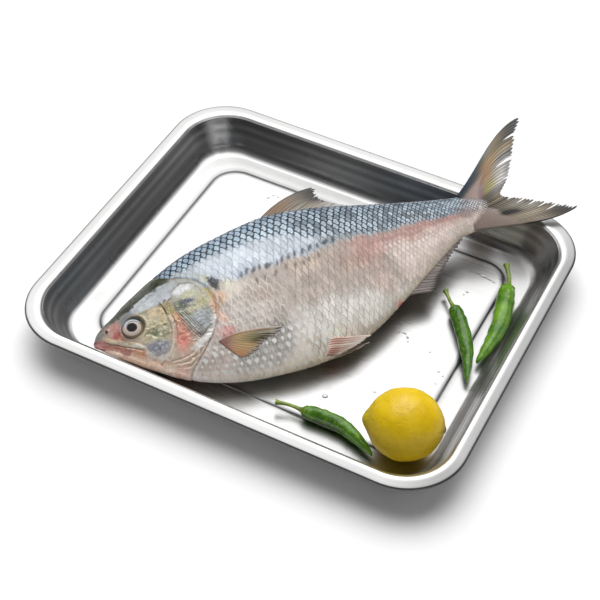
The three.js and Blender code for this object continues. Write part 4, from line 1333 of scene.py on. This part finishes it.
# the pressed sheet's top side from the raised panel out to the rim: inset, height, corner radius
TRAY_TOP = [
    (54.5, -30.8, 22), (52.5, -31.14, 24), (50, -32, 26), (35, -32, 33), (31, -31.2, 35), (27.6, -29, 36.5),
    (25.2, -25.8, 37.5), (23.6, -22, 38), (14.9, -4, 42), (13.6, -1.6, 42.5), (11.4, -0.2, 43.5), (9.6, 0, 44.5),
    (1.9, 0, 51),
]
# how many steps are drawn to the next row, where they aren't four
TRAY_TOP_STEPS = {2: 3, 7: 14, 11: 6}
# painted light and shade on the sheet, by ring: painted reflections along the rim and the wall, painted shade in
# the panel's bank; inset, share
TRAY_PAINTED_LIGHT = [(0, 0.5), (1.6, 0.54), (2.6, 0.68), (6, 0.7), (8.2, 0.8), (9.6, 1.0), (11, 1.25), (13, 1.2),
               (14.5, 1.05), (16, 0.9), (17, 1.45), (18, 1.6), (18.8, 0.95), (20, 1.1), (21.2, 1.5), (22.4, 1.15),
               (24, 1.0), (26, 1.2), (28, 1.15), (31, 0.95), (36, 0.78), (47, 0.82), (49.8, 0.7), (50.8, 0.38),
               (53, 0.32), (54.2, 0.5), (55.4, 0.86), (60, 0.88)]
# painted reflections: bright glows in the rounded corners of the wall: direction seen from above, half width in
# degrees, share added
PAINTED_CORNER_REFLECTIONS = [(38, 20, 1.3), (116, 6, 0.35), (146, 9, 0.8), (330, 10, 0.8)]
# between these insets the wall begins, and ends
WALL_TOP, WALL_FOOT = (13, 16), (26, 32)
# where painted shade darkens the rim: direction, half width, share taken off, and the insets between which it
# ends
RIM_PAINTED_SHADE = (335, 55, 0.45)
RIM_END = (7, 9)
# painted shade under the rim's bead, by its height and inset, and its share
BEAD_UNDER, BEAD_INSET, BEAD_SHADE = -0.5, 6, 0.7


CORNER_STEPS, SIDE_STEPS = 26, 10


def tray_ring(inset, z, radius):
    """A rounded rectangle of points, that far inside the rim's outline."""
    half = (TRAY_LENGTH / 2 - inset, TRAY_WIDTH / 2 - inset)
    ring = []
    for corner in range(4):
        sign = (1 if corner in (0, 3) else -1, 1 if corner < 2 else -1)
        middle = (sign[0] * (half[0] - radius), sign[1] * (half[1] - radius))
        for k in range(CORNER_STEPS + 1):
            angle = (corner + k / CORNER_STEPS) * math.pi / 2
            ring.append((middle[0] + radius * math.cos(angle), middle[1] + radius * math.sin(angle), z))
    full = []
    for i, point in enumerate(ring):
        full.append(point)
        if (i + 1) % (CORNER_STEPS + 1) == 0:
            after = ring[(i + 1) % len(ring)]
            between = (k / SIDE_STEPS for k in range(1, SIDE_STEPS))
            full += [tuple(lerp(p, q, t) for p, q in zip(point, after)) for t in between]
    return full


def tray_profile():
    """Inset, height and corner radius of the sheet's rings, from the panel over the rim and round its bead."""
    rows = [(k, *row) for k, row in enumerate(TRAY_TOP)]
    profile = [(TRAY_TOP[0][0] + 3, PANEL, 21)]
    for k in range(len(TRAY_TOP) - 1):
        steps = TRAY_TOP_STEPS.get(k, 4)
        for j in range(steps):
            inset, z, radius = (float(curve(rows, k + j / steps, c)) for c in (1, 2, 3))
            profile.append((inset, min(max(z, -TRAY_DEPTH), 0.0), radius))
    profile.append(TRAY_TOP[-1])
    for degrees in range(80, -176, -15):
        inset = BEAD_RADIUS * (1 - math.cos(math.radians(degrees)))
        profile.append((inset, BEAD_RADIUS * (math.sin(math.radians(degrees)) - 1), TRAY_CORNER - inset))
    return profile


def bell(off, half):
    return math.exp(-((off / half) ** 2))


def steel_shade(x, y, inset, z):
    """The painted light and shade on the sheet at a place seen from the tray's middle, on a ring of that inset.
    """
    shade = float(curve(TRAY_PAINTED_LIGHT, inset)) * (BEAD_SHADE if z < BEAD_UNDER and inset < BEAD_INSET else 1)
    x = math.copysign(max(abs(x) - TRAY_LENGTH / 2 + TRAY_CORNER, 0), x)
    y = math.copysign(max(abs(y) - TRAY_WIDTH / 2 + TRAY_CORNER, 0), y)
    turn = math.degrees(math.atan2(y, x)) % 360
    painted_reflection = sum(gain * bell(turn - at, half) for at, half, gain in PAINTED_CORNER_REFLECTIONS) if x and y else 0
    on_wall = float(smooth(*WALL_TOP, inset) * fade(*WALL_FOOT, inset))
    at, half, loss = RIM_PAINTED_SHADE
    rim_painted_shade = loss * bell((turn - at + 180) % 360 - 180, half) * float(fade(*RIM_END, inset))
    return shade * (1 + painted_reflection * on_wall) * (1 - rim_painted_shade)


def steel_tray(steel):
    profile = tray_profile()[::-1]
    piece = drawn("tray_sheet", [tray_ring(*row) for row in profile], close_start=False)
    per_ring = len(piece.data.vertices) // len(profile)
    values = []
    for v, vertex in enumerate(piece.data.vertices):
        inset, z, _ = profile[min(v // per_ring, len(profile) - 1)]
        x, y = ((np.array(vertex.co) - TRAY_PLACE) / MM)[:2]
        values.append(steel_shade(x, y, inset, z))
    # the painted light and shade, kept on each point of the sheet
    keep_values(piece, "shade", values)
    panel = max(piece.data.polygons, key=lambda f: len(f.vertices))
    if panel.normal.z < 0:
        take(piece)
        bpy.ops.object.mode_set(mode="EDIT")
        bpy.ops.mesh.select_all(action="SELECT")
        bpy.ops.mesh.flip_normals()
        bpy.ops.object.mode_set(mode="OBJECT")
    wall = piece.modifiers.new("sheet", "SOLIDIFY")
    wall.thickness, wall.offset = SHEET * MM, -1
    return finish(piece, steel, ["tray"])


# paths on the tray, with heights above the panel, and the widest radius
CHILLIES = {
    "front": ([(34.5, -121.9, 8.5), (46.3, -118.4, 7.5), (59, -117.8, 6.7), (74, -116.1, 6.5), (88, -116, 6.4),
               (101, -119, 6.1), (114, -124.3, 5.2), (126.5, -130.8, 4)], 6.3),
    "middle": ([(106.5, 60.7, 7.2), (115.1, 51.1, 7.1), (124.4, 41.8, 7), (135, 29.3, 6.9), (145.9, 12.9, 6.8),
                (154.5, -2.5, 6.2), (163.3, -24.8, 4.6)], 6.5),
    "right": ([(142.5, 114.3, 9), (151, 99.2, 8.7), (155.2, 83.8, 8.5), (160, 66, 8.4), (164.4, 44, 8.2),
               (165.2, 22.7, 7.2), (162.5, -2.2, 4.9)], 8),
}
# radius as a share of the widest one, by share of the path
POD = [(0.268, 0.25), (0.272, 0.5), (0.283, 0.7), (0.305, 0.84), (0.34, 0.93), (0.4, 0.98), (0.46, 1),
       (0.62, 0.98), (0.76, 0.87), (0.88, 0.63), (0.95, 0.4), (0.985, 0.22), (1, 0.06)]
STEM = [(0, 0.36), (0.008, 0.4), (0.03, 0.3), (0.1, 0.235), (0.2, 0.25), (0.24, 0.3), (0.262, 0.42),
        (0.276, 0.62), (0.29, 0.76), (0.3, 0.83), (0.303, 0.8)]


TUBE_POINTS = 24


def tube_rings(path, radii, steps, lobes, wave, seed):
    """Rings round a path; radii are share of the path and radius in mm."""
    shares = np.interp(np.linspace(0, 1, steps), np.linspace(0, 1, len(radii)), [r[0] for r in radii])
    points, before, after = (np.stack(along(path, np.clip(shares + step, 0, 1)), -1) for step in (0, -0.01, 0.01))
    ahead = (after - before) / np.linalg.norm(after - before, axis=1, keepdims=True)
    turn = np.linspace(0, 2 * math.pi, TUBE_POINTS + 1)[:-1]
    rings = []
    for share, point, direction in zip(shares, points, ahead):
        across = np.cross((0, 0, 1), direction)
        across /= np.linalg.norm(across)
        up = np.cross(direction, across)
        radius = float(curve(radii, share))
        grain = value_noise(turn * 2, share * 40 + 0 * turn, 1.5, seed)
        uneven = 1 + lobes * np.cos(3 * turn + seed) + wave * grain
        ring = point + radius * uneven[:, None] * (np.cos(turn)[:, None] * across + np.sin(turn)[:, None] * up)
        rings.append(np.maximum(ring, [FREE, FREE, REST]))
    return rings


def chilli(name, pod_finish, stem_finish):
    rows, widest = CHILLIES[name]
    path = [(x, y, REST + z) for x, y, z in rows]
    for kind, radii, steps, lobes, wave, seed, own_finish in (
            ("pod", POD, 80, 0.035, 0.075, 3, pod_finish), ("stem", STEM, 30, 0.05, 0.04, 5, stem_finish)):
        rings = tube_rings(path, [(share, r * widest) for share, r in radii], steps, lobes, wave, seed)
        piece = drawn("chilli_%s_%s" % (kind, name), rings)
        finish(piece, own_finish, ["chilli_" + name])


# --- lemon --------------------------------------------------------------------------------------------------

LEMON_RADIUS = 59.5 / 2
LEMON_LENGTH = 67.0
LEMON_CENTRE = (143.2, -108.5)
LEMON_HEADING = math.radians(18.0)
LEMON_ROWS = 60
# how far the two ends stand out from an egg form, and over which angle
LEMON_ENDS = ((-3.9, 0.24), (1.1, 0.35))
# the dry stub that the stalk left: how far out it begins, its length in steps, its radius by share of that
STUB_START = 30.4
STUB_STEPS = (0, 0.8, 1.6, 2.2)
STUB = [(0, 3.2), (0.5, 2.8), (0.8, 2.0), (1, 0.7)]


def lemon_outline():
    """Half the outline, as distances along and from the fruit's axis."""
    outline = []
    for i in range(LEMON_ROWS + 1):
        angle = math.pi * i / LEMON_ROWS
        x = -(LEMON_LENGTH / 2 - 2.9) * math.cos(angle)
        for (out, width), from_end in zip(LEMON_ENDS, (angle, math.pi - angle)):
            x += out * bell(from_end, width)
        outline.append((x, LEMON_RADIUS * math.sin(angle) ** 0.97))
    return outline


def lemon_unevenness(x, y, z):
    turn, from_axis = np.arctan2(z, y), np.hypot(y, z)
    broad = 0.5 * value_noise(turn * 3, x / 9, 1.6, 61) + 0.25 * value_noise(x, turn * 14, 5, 62)
    return (broad + 0.16 * value_noise(x + 40, y + z, 2.1, 63)) * smooth(0, 8, from_axis) - 0.2


def lemon(peel, stub_finish):
    """The half outline is drawn as a chain of points and spun round the fruit's axis."""
    outline = lemon_outline()
    lay_down_tools()
    bpy.ops.mesh.primitive_plane_add(size=MM)
    piece = bpy.context.object
    piece.name = piece.data.name = "lemon_fruit"
    bpy.ops.object.mode_set(mode="EDIT")
    bpy.ops.mesh.select_all(action="SELECT")
    bpy.ops.mesh.merge(type="CENTER")
    bpy.ops.transform.translate(value=(outline[0][0] * MM, 0, 0))
    for before, after in zip(outline, outline[1:]):
        step = ((after[0] - before[0]) * MM, 0, (after[1] - before[1]) * MM)
        bpy.ops.mesh.extrude_region_move(TRANSFORM_OT_translate={"value": step})
    bpy.ops.mesh.select_all(action="SELECT")
    bpy.ops.mesh.spin(steps=96, angle=2 * math.pi, center=(0, 0, 0), axis=(1, 0, 0))
    bpy.ops.mesh.select_all(action="SELECT")
    bpy.ops.mesh.remove_doubles(threshold=0.02 * MM)
    face_outwards()
    bpy.ops.object.shade_smooth()
    co = np.array([v.co for v in piece.data.vertices]) / MM
    away = co / np.maximum(np.linalg.norm(co, axis=1, keepdims=True), 1e-6)
    co = co + away * lemon_unevenness(*co.T)[:, None]
    cos, sin = math.cos(LEMON_HEADING), math.sin(LEMON_HEADING)
    x = co[:, 0] * cos - co[:, 1] * sin + LEMON_CENTRE[0]
    y = co[:, 0] * sin + co[:, 1] * cos + LEMON_CENTRE[1]
    z = np.maximum(co[:, 2] + REST + LEMON_RADIUS, REST)
    piece.data.vertices.foreach_set("co", to_row(np.stack([x, y, z], -1)).astype(np.float32).ravel())
    piece.data.update()
    keep_values(piece, "from_tip", co[:, 0].astype(np.float32))
    finish(piece, peel, ["lemon"])
    axis = np.array([cos, sin, 0.0])
    start = np.array([*LEMON_CENTRE, REST + LEMON_RADIUS]) + axis * STUB_START
    stub = drawn("lemon_stub", tube_rings([tuple(start + axis * k) for k in STUB_STEPS], STUB, 10, 0.08, 0.1, 9))
    finish(stub, stub_finish, ["lemon"])


# --- drops of water on the tray's panel ---------------------------------------------------------------------
# place on the tray and radius in mm, and the stretch and turn of its outline in degrees
DROPS = [
    (64.5, -90.5, 2.3, 1.1, 0), (99, -67, 1.2, 1.2, 20), (88, 3.2, 1.1, 1.8, 20), (93, 4.4, 1.1, 2.2, -10),
    (97.6, 1.4, 1.0, 2.2, -50), (99.8, -3, 0.9, 1.6, -70), (137, -21.5, 1.1, 1.2, 0), (142, -24.4, 0.9, 1, 0),
    (140, -35, 0.9, 1, 0), (129, -40, 0.7, 1, 0), (121.5, -5, 0.9, 1, 0), (122, 101.5, 1.1, 2, -20),
    (127.5, 99.6, 1.3, 2.4, -10), (133.5, 99, 1.2, 2.2, -5), (138, 97.6, 1.0, 1.6, -20), (122, 75, 1.2, 1.1, 0),
    (120.6, 70.6, 0.8, 1, 0), (-90, 98.5, 1.0, 1.8, 60), (-87.4, 103.2, 1.0, 2, 20),
    (-82.8, 103.6, 0.9, 1.6, -20),
]


DROP_LIFT, DROP_FLATNESS = 0.05, 0.5


def drop(number, x, y, radius, stretch, turn, water_finish):
    lay_down_tools()
    bpy.ops.mesh.primitive_uv_sphere_add(segments=20, ring_count=12, radius=radius * MM)
    bead = bpy.context.object
    bead.name = bead.data.name = "water_drop_%d" % number
    bead.rotation_euler = (0, 0, math.radians(turn))
    bead.location = to_row((x, y, PANEL + DROP_LIFT))
    squeeze(bead, (stretch, 1, DROP_FLATNESS))
    return finish(bead, water_finish, ["tray"])


# --- finishes -----------------------------------------------------------------------------------------------


def scale_nodes(f, column, row):
    """The same steps as under_which_scale, in nodes."""
    found = []
    for step in (0.0, 1.0):
        r = f.plus(f.sum("FLOOR", row), step)
        off = f.sum("ABSOLUTE", f.minus(row, r))
        shift = f.times(f.sum("FLOORED_MODULO", r, 2.0), 0.5)
        bulge = f.times(f.sum("SQRT", f.larger(f.rest(f.times(off, off)), 0.0)), SCALE_BULGE)
        q = f.minus(f.minus(column, shift), bulge)
        k = f.sum("CEIL", q)
        found.append((f.minus(k, q), f.plus(k, shift), r))
    first = f.sum("LESS_THAN", found[0][1], found[1][1])
    left = f.blend(first, found[1][0], found[0][0])
    other = f.blend(first, found[0][0], found[1][0])
    passed = f.rest(f.larger(left, other))
    return left, passed, f.blend(first, found[1][1], found[0][1]), f.blend(first, found[1][2], found[0][2])


def scaled_skin():
    f = Finish("scaled_skin", Metallic=METAL, IOR=1.36, Coat_Weight=0.2, Coat_Roughness=0.12)
    where = f.object_place()
    column = f.add("SeparateXYZ", {0: f.value_of("scale_place", out=1)})
    row = column.node.outputs[1]
    sway = f.add("TexNoise", {"Vector": where, "Scale": 170.0, "Detail": 2.0}, out=1)
    across = f.add("SeparateColor", {0: sway})
    column = f.plus(column, f.times(f.minus(across, 0.5), 0.5))
    row = f.plus(row, f.times(f.minus(across.node.outputs[1], 0.5), 0.4))
    left, passed, own_column, own_row = scale_nodes(f, column, row)
    u, v = f.minus(column, own_column), f.minus(row, own_row)
    width, strength, glint = f.value_of("border_width"), f.value_of("border_strength"), f.value_of("glint")
    own = f.add("CombineXYZ", {0: own_column, 1: own_row})
    chances = f.add("TexWhiteNoise", {0: own}, out=1)
    chance, chance_two, chance_three = (f.add("SeparateColor", {0: chances}, out=k) for k in range(3))
    fray = f.times(f.minus(f.noise(where, 620.0, 3.0, 0.6), 0.5), 0.16)

    def oval(x, y, across, along_row):
        a = f.times(f.minus(u, x), 1 / across)
        b = f.times(f.minus(v, y), 1 / along_row)
        return f.plus(f.sum("SQRT", f.plus(f.times(a, a), f.times(b, b))), fray)

    # how far inside its own outline a point lies, in columns
    reach = oval(0.0, 0.0, SCALE_BULGE, 1.0)
    steep = f.sum("SQRT", f.plus(f.times(f.times(u, u), 16.0), f.times(v, v)))
    inside = f.sum("DIVIDE", f.times(f.rest(reach), reach), f.larger(steep, 0.2))
    inside = f.blend(f.sum("GREATER_THAN", u, -0.02), 1.0, inside)
    # the scales' outlines: a dark edge before each free edge, and a painted shadow just behind it
    edge = f.rest(f.ease(inside, f.times(width, 0.3), f.times(width, 1.1)))
    behind = f.rest(f.ease(f.plus(passed, fray), 0.0, f.times(width, 0.7)))
    rim = f.times(f.larger(edge, f.times(behind, 0.6)), strength)
    worn = f.ease(f.noise(where, 120.0, 3.0), 0.35, 0.6, 0.5, 1.0)
    rim = f.times(rim, f.times(f.ease(chance, 0.0, 1.0, 0.6, 1.0), worn))
    tone = f.times(f.ease(chance_two, 0.0, 1.0, 0.86, 1.12),
                   f.ease(f.noise(f.stretch(where, (1, 1, 1), (3, 1, 2)), 150.0, 3.0), 0.25, 0.75, 0.93, 1.07))
    tone = f.times(tone, f.ease(f.noise(where, 1100.0, 2.0, 0.6), 0.3, 0.7, 0.95, 1.06))
    colour = f.toned(f.value_of("ground", out=0), tone)
    # on the back each scale is a pale disc with a greyer middle on a dark ground
    net = f.ease(width, 0.14, 0.28)
    disc = oval(0.04, 0.0, 0.43, 0.66)
    round_disc = f.rest(f.ease(disc, 0.72, 1.08))
    ring = f.times(round_disc, f.ease(disc, 0.2, 0.62, 0.45, 1.0))
    dark = f.times(f.times(f.rest(round_disc), net), strength)
    paler = f.ease(chance_three, 0.0, 1.0, 0.1, 0.75)
    colour = f.mix(f.times(f.times(ring, net), paler), colour, (0.60, 0.72, 0.82))
    rim = f.larger(f.times(rim, f.rest(f.times(net, 0.4))), dark)
    colour = f.mix(rim, colour, f.value_of("border", out=0))
    # painted highlights: white glints low on each scale of the belly, and fine bright flecks
    size = f.ease(chance, 0.0, 1.0, 0.72, 1.35)
    spot = f.rest(f.ease(f.times(oval(-0.02, 0.14, 0.32, 0.46), size), 0.55, 1.0))
    spot = f.times(f.times(spot, glint), f.ease(chance_three, 0.0, 0.5, 0.35, 1.0))
    colour = f.mix(spot, colour, (0.86, 0.85, 0.83))
    painted_fleck = f.ease(f.noise(where, 800.0, 3.0, 0.7), 0.56, 0.64)
    colour = f.mix(f.times(painted_fleck, f.times(glint, 0.55)), colour, (0.84, 0.84, 0.83))
    f.give("Base Color", colour)
    f.give("Roughness", f.ease(f.noise(where, 260.0, 3.0), 0.3, 0.7, 0.26, 0.44))
    fine = f.relief(f.noise(where, 1500.0, 3.0, 0.6), 0.2, 0.0002)
    f.give("Normal", f.relief(f.plus(f.rest(left), f.times(rim, -0.3)), 0.45, 0.0006, fine))
    return f.material


def head_skin():
    f = Finish("head_skin", Metallic=0.15, IOR=1.42, Coat_Weight=0.5, Coat_Roughness=0.1)
    where = f.object_place()
    tone = f.ease(f.noise(where, 330.0, 4.0, 0.6), 0.3, 0.7, 0.84, 1.12)
    tone = f.times(tone, f.ease(f.noise(where, 1400.0, 2.0, 0.6), 0.3, 0.7, 0.93, 1.05))
    colour = f.toned(f.value_of("ground", out=0), tone)
    f.give("Base Color", colour)
    f.give("Roughness", f.ease(f.noise(where, 220.0, 3.0), 0.3, 0.7, 0.22, 0.42))
    broad = f.relief(f.noise(where, 240.0, 3.0, 0.55), 0.35, 0.0007)
    f.give("Normal", f.relief(f.noise(where, 1300.0, 3.0, 0.6), 0.25, 0.0002, broad))
    return f.material


def fin_skin():
    f = Finish("fin_skin", IOR=1.4, Coat_Weight=0.35, Coat_Roughness=0.15)
    parts = f.add("SeparateXYZ", {0: f.value_of("ray_place", out=1)})
    ray, run = parts, parts.node.outputs[1]
    between = f.sum("ABSOLUTE", f.minus(f.sum("FRACT", ray), 0.5))
    line = f.rest(f.ease(between, 0.22, 0.45))
    split = f.sum("ABSOLUTE", f.minus(f.sum("FRACT", f.times(ray, 2.0)), 0.5))
    fine = f.rest(f.ease(split, 0.2, 0.45))
    rays = f.blend(f.ease(run, 0.35, 0.6), line, fine)
    joints = f.noise(f.add("CombineXYZ", {0: ray, 1: f.times(run, 60.0)}), 1.6, 2.0)
    tone = f.plus(0.82, f.plus(f.times(rays, 0.22), f.times(joints, 0.12)))
    colour = f.toned(f.value_of("ground", out=0), tone)
    f.give("Base Color", colour)
    f.give("Roughness", f.ease(joints, 0.3, 0.7, 0.28, 0.45))
    f.give("Normal", f.relief(f.plus(rays, f.times(joints, 0.3)), 0.4, 0.0004))
    return f.material


def eye_glass():
    f = Finish("eye_glass", IOR=1.22, Roughness=0.08)
    where = f.object_place()
    drift = f.times(f.minus(f.noise(where, 600.0, 3.0), 0.5), 0.6)
    iris = f.ramp(f.times(f.plus(f.value_of("from_pupil"), drift), 1 / 12.0), [
        (0.315, srgb(8, 9, 12)), (0.34, srgb(70, 64, 62)), (0.355, srgb(150, 136, 128)),
        (0.38, srgb(104, 92, 86)), (0.41, srgb(206, 192, 180)), (0.49, srgb(194, 178, 166)),
        (0.515, srgb(128, 112, 102)), (0.54, srgb(200, 188, 176)), (0.6, srgb(186, 170, 156)),
        (0.65, srgb(124, 110, 98)), (0.73, srgb(134, 120, 102)), (0.8, srgb(96, 82, 68))])
    # the upper part of the eye under the lid, whose pale arcs are a painted highlight
    lid_with_painted_highlight = f.ramp(f.times(f.plus(f.value_of("from_middle"), drift), 1 / 12.0), [
        (0.4, srgb(200, 192, 186)), (0.46, srgb(120, 116, 116)), (0.49, srgb(70, 68, 70)),
        (0.53, srgb(168, 172, 178)), (0.57, srgb(216, 220, 226)), (0.61, srgb(164, 172, 182)),
        (0.66, srgb(112, 124, 136)), (0.75, srgb(100, 112, 122)), (0.82, srgb(78, 84, 86))])
    upper = f.times(f.ease(f.value_of("upward"), 0.5, 4.5), f.ease(f.value_of("from_pupil"), 4.9, 5.5))
    f.give("Base Color", f.mix(upper, iris, lid_with_painted_highlight))
    f.give("Normal", f.relief(f.noise(where, 700.0, 2.0), 0.08, 0.0003))
    return f.material


def bright_steel():
    f = Finish("bright_steel", Metallic=1.0)
    where = f.object_place()
    lines = f.noise(f.stretch(where, (6, 900, 60)), 1.0, 4.0, 0.6)
    stains = f.noise(where, 22.0, 4.0, 0.6, 0.6)
    marks = f.ease(stains, 0.56, 0.66)
    colour = f.mix(f.times(marks, 0.12), (0.58, 0.578, 0.575), (0.49, 0.488, 0.485))
    colour = f.mix(f.ease(lines, 0.35, 0.75, 0.0, 0.12), colour, (0.45, 0.45, 0.46))
    # the sheet's painted light and shade from its points
    tone = f.times(f.value_of("shade"), f.ease(f.noise(where, 7.0, 3.0), 0.3, 0.7, 0.95, 1.03))
    # painted shade: the sheet darker towards +X
    east = f.add("SeparateXYZ", {0: where})
    tone = f.times(tone, f.ease(east, 0.0, 0.15, 1.0, 0.88))
    colour = f.toned(colour, tone)
    f.give("Base Color", colour)
    f.give("Roughness", f.plus(f.ease(lines, 0.3, 0.7, 0.27, 0.34), f.times(marks, 0.06)))
    broad = f.relief(f.noise(where, 14.0, 2.0), 0.12, 0.002)
    f.give("Normal", f.relief(lines, 0.03, 0.0002, broad))
    return f.material


def lemon_peel():
    f = Finish("lemon_peel", IOR=1.35, Coat_Weight=0.25, Coat_Roughness=0.3)
    where = f.object_place()
    pits = f.add("TexVoronoi", {"Vector": where, "Scale": 430.0, "Randomness": 1.0}, distance="EUCLIDEAN")
    deep = f.ease(pits, 0.05, 0.35)
    from_tip = f.value_of("from_tip")
    colour = f.ramp(f.noise(where, 38.0, 4.0, 0.6), [(0.3, srgb(220, 180, 4)), (0.7, srgb(240, 206, 20))])
    green = f.times(f.ease(f.times(from_tip, -1.0), 22.0, 36.0), 0.5)
    colour = f.mix(green, colour, srgb(188, 186, 34))
    brown = f.ease(from_tip, 27.5, 32.0)
    colour = f.mix(f.times(brown, 0.7), colour, srgb(176, 138, 62))
    colour = f.mix(f.times(f.rest(deep), 0.22), colour, srgb(214, 150, 8))
    spots = f.ease(f.noise(where, 300.0, 2.0, 0.5), 0.70, 0.74)
    colour = f.mix(f.times(spots, 0.5), colour, srgb(150, 110, 40))
    f.give("Base Color", colour)
    f.give("Roughness", f.ease(f.noise(where, 200.0, 2.0), 0.3, 0.7, 0.36, 0.5))
    broad = f.relief(f.noise(where, 90.0, 3.0), 0.3, 0.0012)
    f.give("Normal", f.relief(deep, 0.5, 0.0006, broad))
    return f.material


def dry_stub():
    f = Finish("dry_stub", Roughness=0.7)
    where = f.object_place()
    colour = f.ramp(f.noise(where, 900.0, 3.0), [(0.3, srgb(122, 96, 60)), (0.7, srgb(178, 150, 104))])
    f.give("Base Color", colour)
    f.give("Normal", f.relief(f.noise(where, 1200.0, 3.0), 0.5, 0.0005))
    return f.material


def chilli_skin(name, dark, light):
    f = Finish("chilli_skin_" + name, IOR=1.3, Coat_Weight=0.6, Coat_Roughness=0.07, Roughness=0.34)
    where = f.object_place()
    colour = f.ramp(f.noise(where, 75.0, 4.0, 0.6), [(0.32, dark), (0.68, light)])
    specks = f.ease(f.noise(where, 420.0, 2.0), 0.58, 0.7)
    colour = f.mix(f.times(specks, 0.3), colour, srgb(160, 190, 80))
    f.give("Base Color", colour)
    bumps = f.relief(f.noise(where, 260.0, 3.0, 0.6), 0.5, 0.0012)
    f.give("Normal", f.relief(f.noise(where, 90.0, 2.0), 0.6, 0.003, bumps))
    return f.material


def chilli_stem_skin():
    f = Finish("chilli_stem_skin", IOR=1.4, Roughness=0.45, Coat_Weight=0.2, Coat_Roughness=0.2)
    where = f.object_place()
    colour = f.ramp(f.noise(where, 130.0, 4.0, 0.6), [(0.3, srgb(72, 98, 22)), (0.7, srgb(138, 160, 56))])
    f.give("Base Color", colour)
    f.give("Normal", f.relief(f.noise(where, 500.0, 3.0), 0.35, 0.0005))
    return f.material


def water():
    f = Finish("water", IOR=1.33, Roughness=0.02, Transmission_Weight=1.0)
    where = f.object_place()
    colour = f.ramp(f.noise(where, 90.0, 2.0), [(0.3, (0.93, 0.94, 0.95)), (0.7, (0.98, 0.98, 0.99))])
    f.give("Base Color", colour)
    f.give("Normal", f.relief(f.noise(where, 300.0, 1.0), 0.05, 0.0003))
    return f.material


# --- the part -----------------------------------------------------------------------------------------------

skin, cheek, fin = scaled_skin(), head_skin(), fin_skin()
fish_body(skin)
fish_head(cheek)
fish_fins(fin)
eye_finish = eye_glass()
fish_eye("eye_upper", 1, eye_finish)
fish_eye("eye_lower", -1, eye_finish)
steel_tray(bright_steel())
lemon(lemon_peel(), dry_stub())
stem = chilli_stem_skin()
chilli("front", chilli_skin("front", srgb(38, 78, 4), srgb(86, 136, 14)), stem)
chilli("middle", chilli_skin("middle", srgb(34, 76, 8), srgb(84, 136, 24)), stem)
chilli("right", chilli_skin("right", srgb(56, 106, 6), srgb(108, 158, 20)), stem)
wet = water()
for number, row in enumerate(DROPS):
    drop(number, *row, wet)

# --- floor, light and camera --------------------------------------------------------------------------------

FLOOR_SIZE = 6.0
bpy.ops.mesh.primitive_plane_add(size=FLOOR_SIZE, location=(0, 0, -0.0005))
floor = bpy.context.object
floor.name = "floor"
paper = Finish("floor_paper", Roughness=0.9)
paper.give("Base Color", paper.ramp(paper.noise(paper.object_place(), 3.0), [(0.3, (0.93, 0.93, 0.93)),
                                                                            (0.7, (0.94, 0.94, 0.94))]))
floor.data.materials.append(paper.material)

scene = bpy.context.scene

world = bpy.data.worlds.new("room")
scene.world = world
world.use_nodes = True
sky = Nodes(world.node_tree)
toward = sky.add("TexCoord")


def soft_light(direction, core, edge, level):
    """Full inside the core's angle round a direction, and nothing outside the edge's."""
    facing = sky.add("VectorMath", {0: toward, 1: tuple(direction)}, 1, operation="DOT_PRODUCT")
    return sky.ease(facing, math.cos(edge), math.cos(core), 0.0, level)


room = sky.ease(sky.add("SeparateXYZ", {0: toward}, 2), *ROOM_HEIGHTS, ROOM_LOW, ROOM_HIGH)
total = sky.plus(soft_light(TOWARDS_LIGHT, LIGHT_CORE, LIGHT_EDGE, LIGHT_LEVEL), room)
total = sky.plus(total, soft_light(TOWARDS_FILL, FILL_CORE, FILL_EDGE, FILL_LEVEL))
mirrored = sky.add("LightPath", out=3)
share = sky.add("MapRange", {"Value": mirrored, "To Min": 1.0, "To Max": SEEN_IN_MIRRORS})
background = sky.tree.nodes["Background"]
sky.set(background.inputs["Strength"], sky.times(total, share))
background.inputs["Color"].default_value = (1, 1, 1, 1)

# the photograph was taken from here: tray frame in mm, and angles in degrees
CAMERA_PLACE = (380.9, -786.2, 904.6)
CAMERA_ROLL = math.radians(-1.653)
CAMERA_LENS = 87.416
SENSOR = 36.0

right = Vector((math.cos(CAMERA_AZIMUTH), math.sin(CAMERA_AZIMUTH), 0))
ahead = Vector(AHEAD)
down = ahead.cross(right)
rolled_right = math.cos(CAMERA_ROLL) * right + math.sin(CAMERA_ROLL) * down
rolled_down = -math.sin(CAMERA_ROLL) * right + math.cos(CAMERA_ROLL) * down
camera = bpy.data.objects.new("camera", bpy.data.cameras.new("camera"))
camera.data.lens, camera.data.sensor_width = CAMERA_LENS, SENSOR
camera.data.clip_end = 20
camera.rotation_mode = "QUATERNION"
camera.rotation_quaternion = Matrix((rolled_right, -rolled_down, -ahead)).transposed().to_quaternion()
camera.location = Vector(to_row(CAMERA_PLACE))
scene.collection.objects.link(camera)
scene.camera = camera
scene.view_settings.view_transform = "Standard"
scene.view_settings.exposure = 0.0
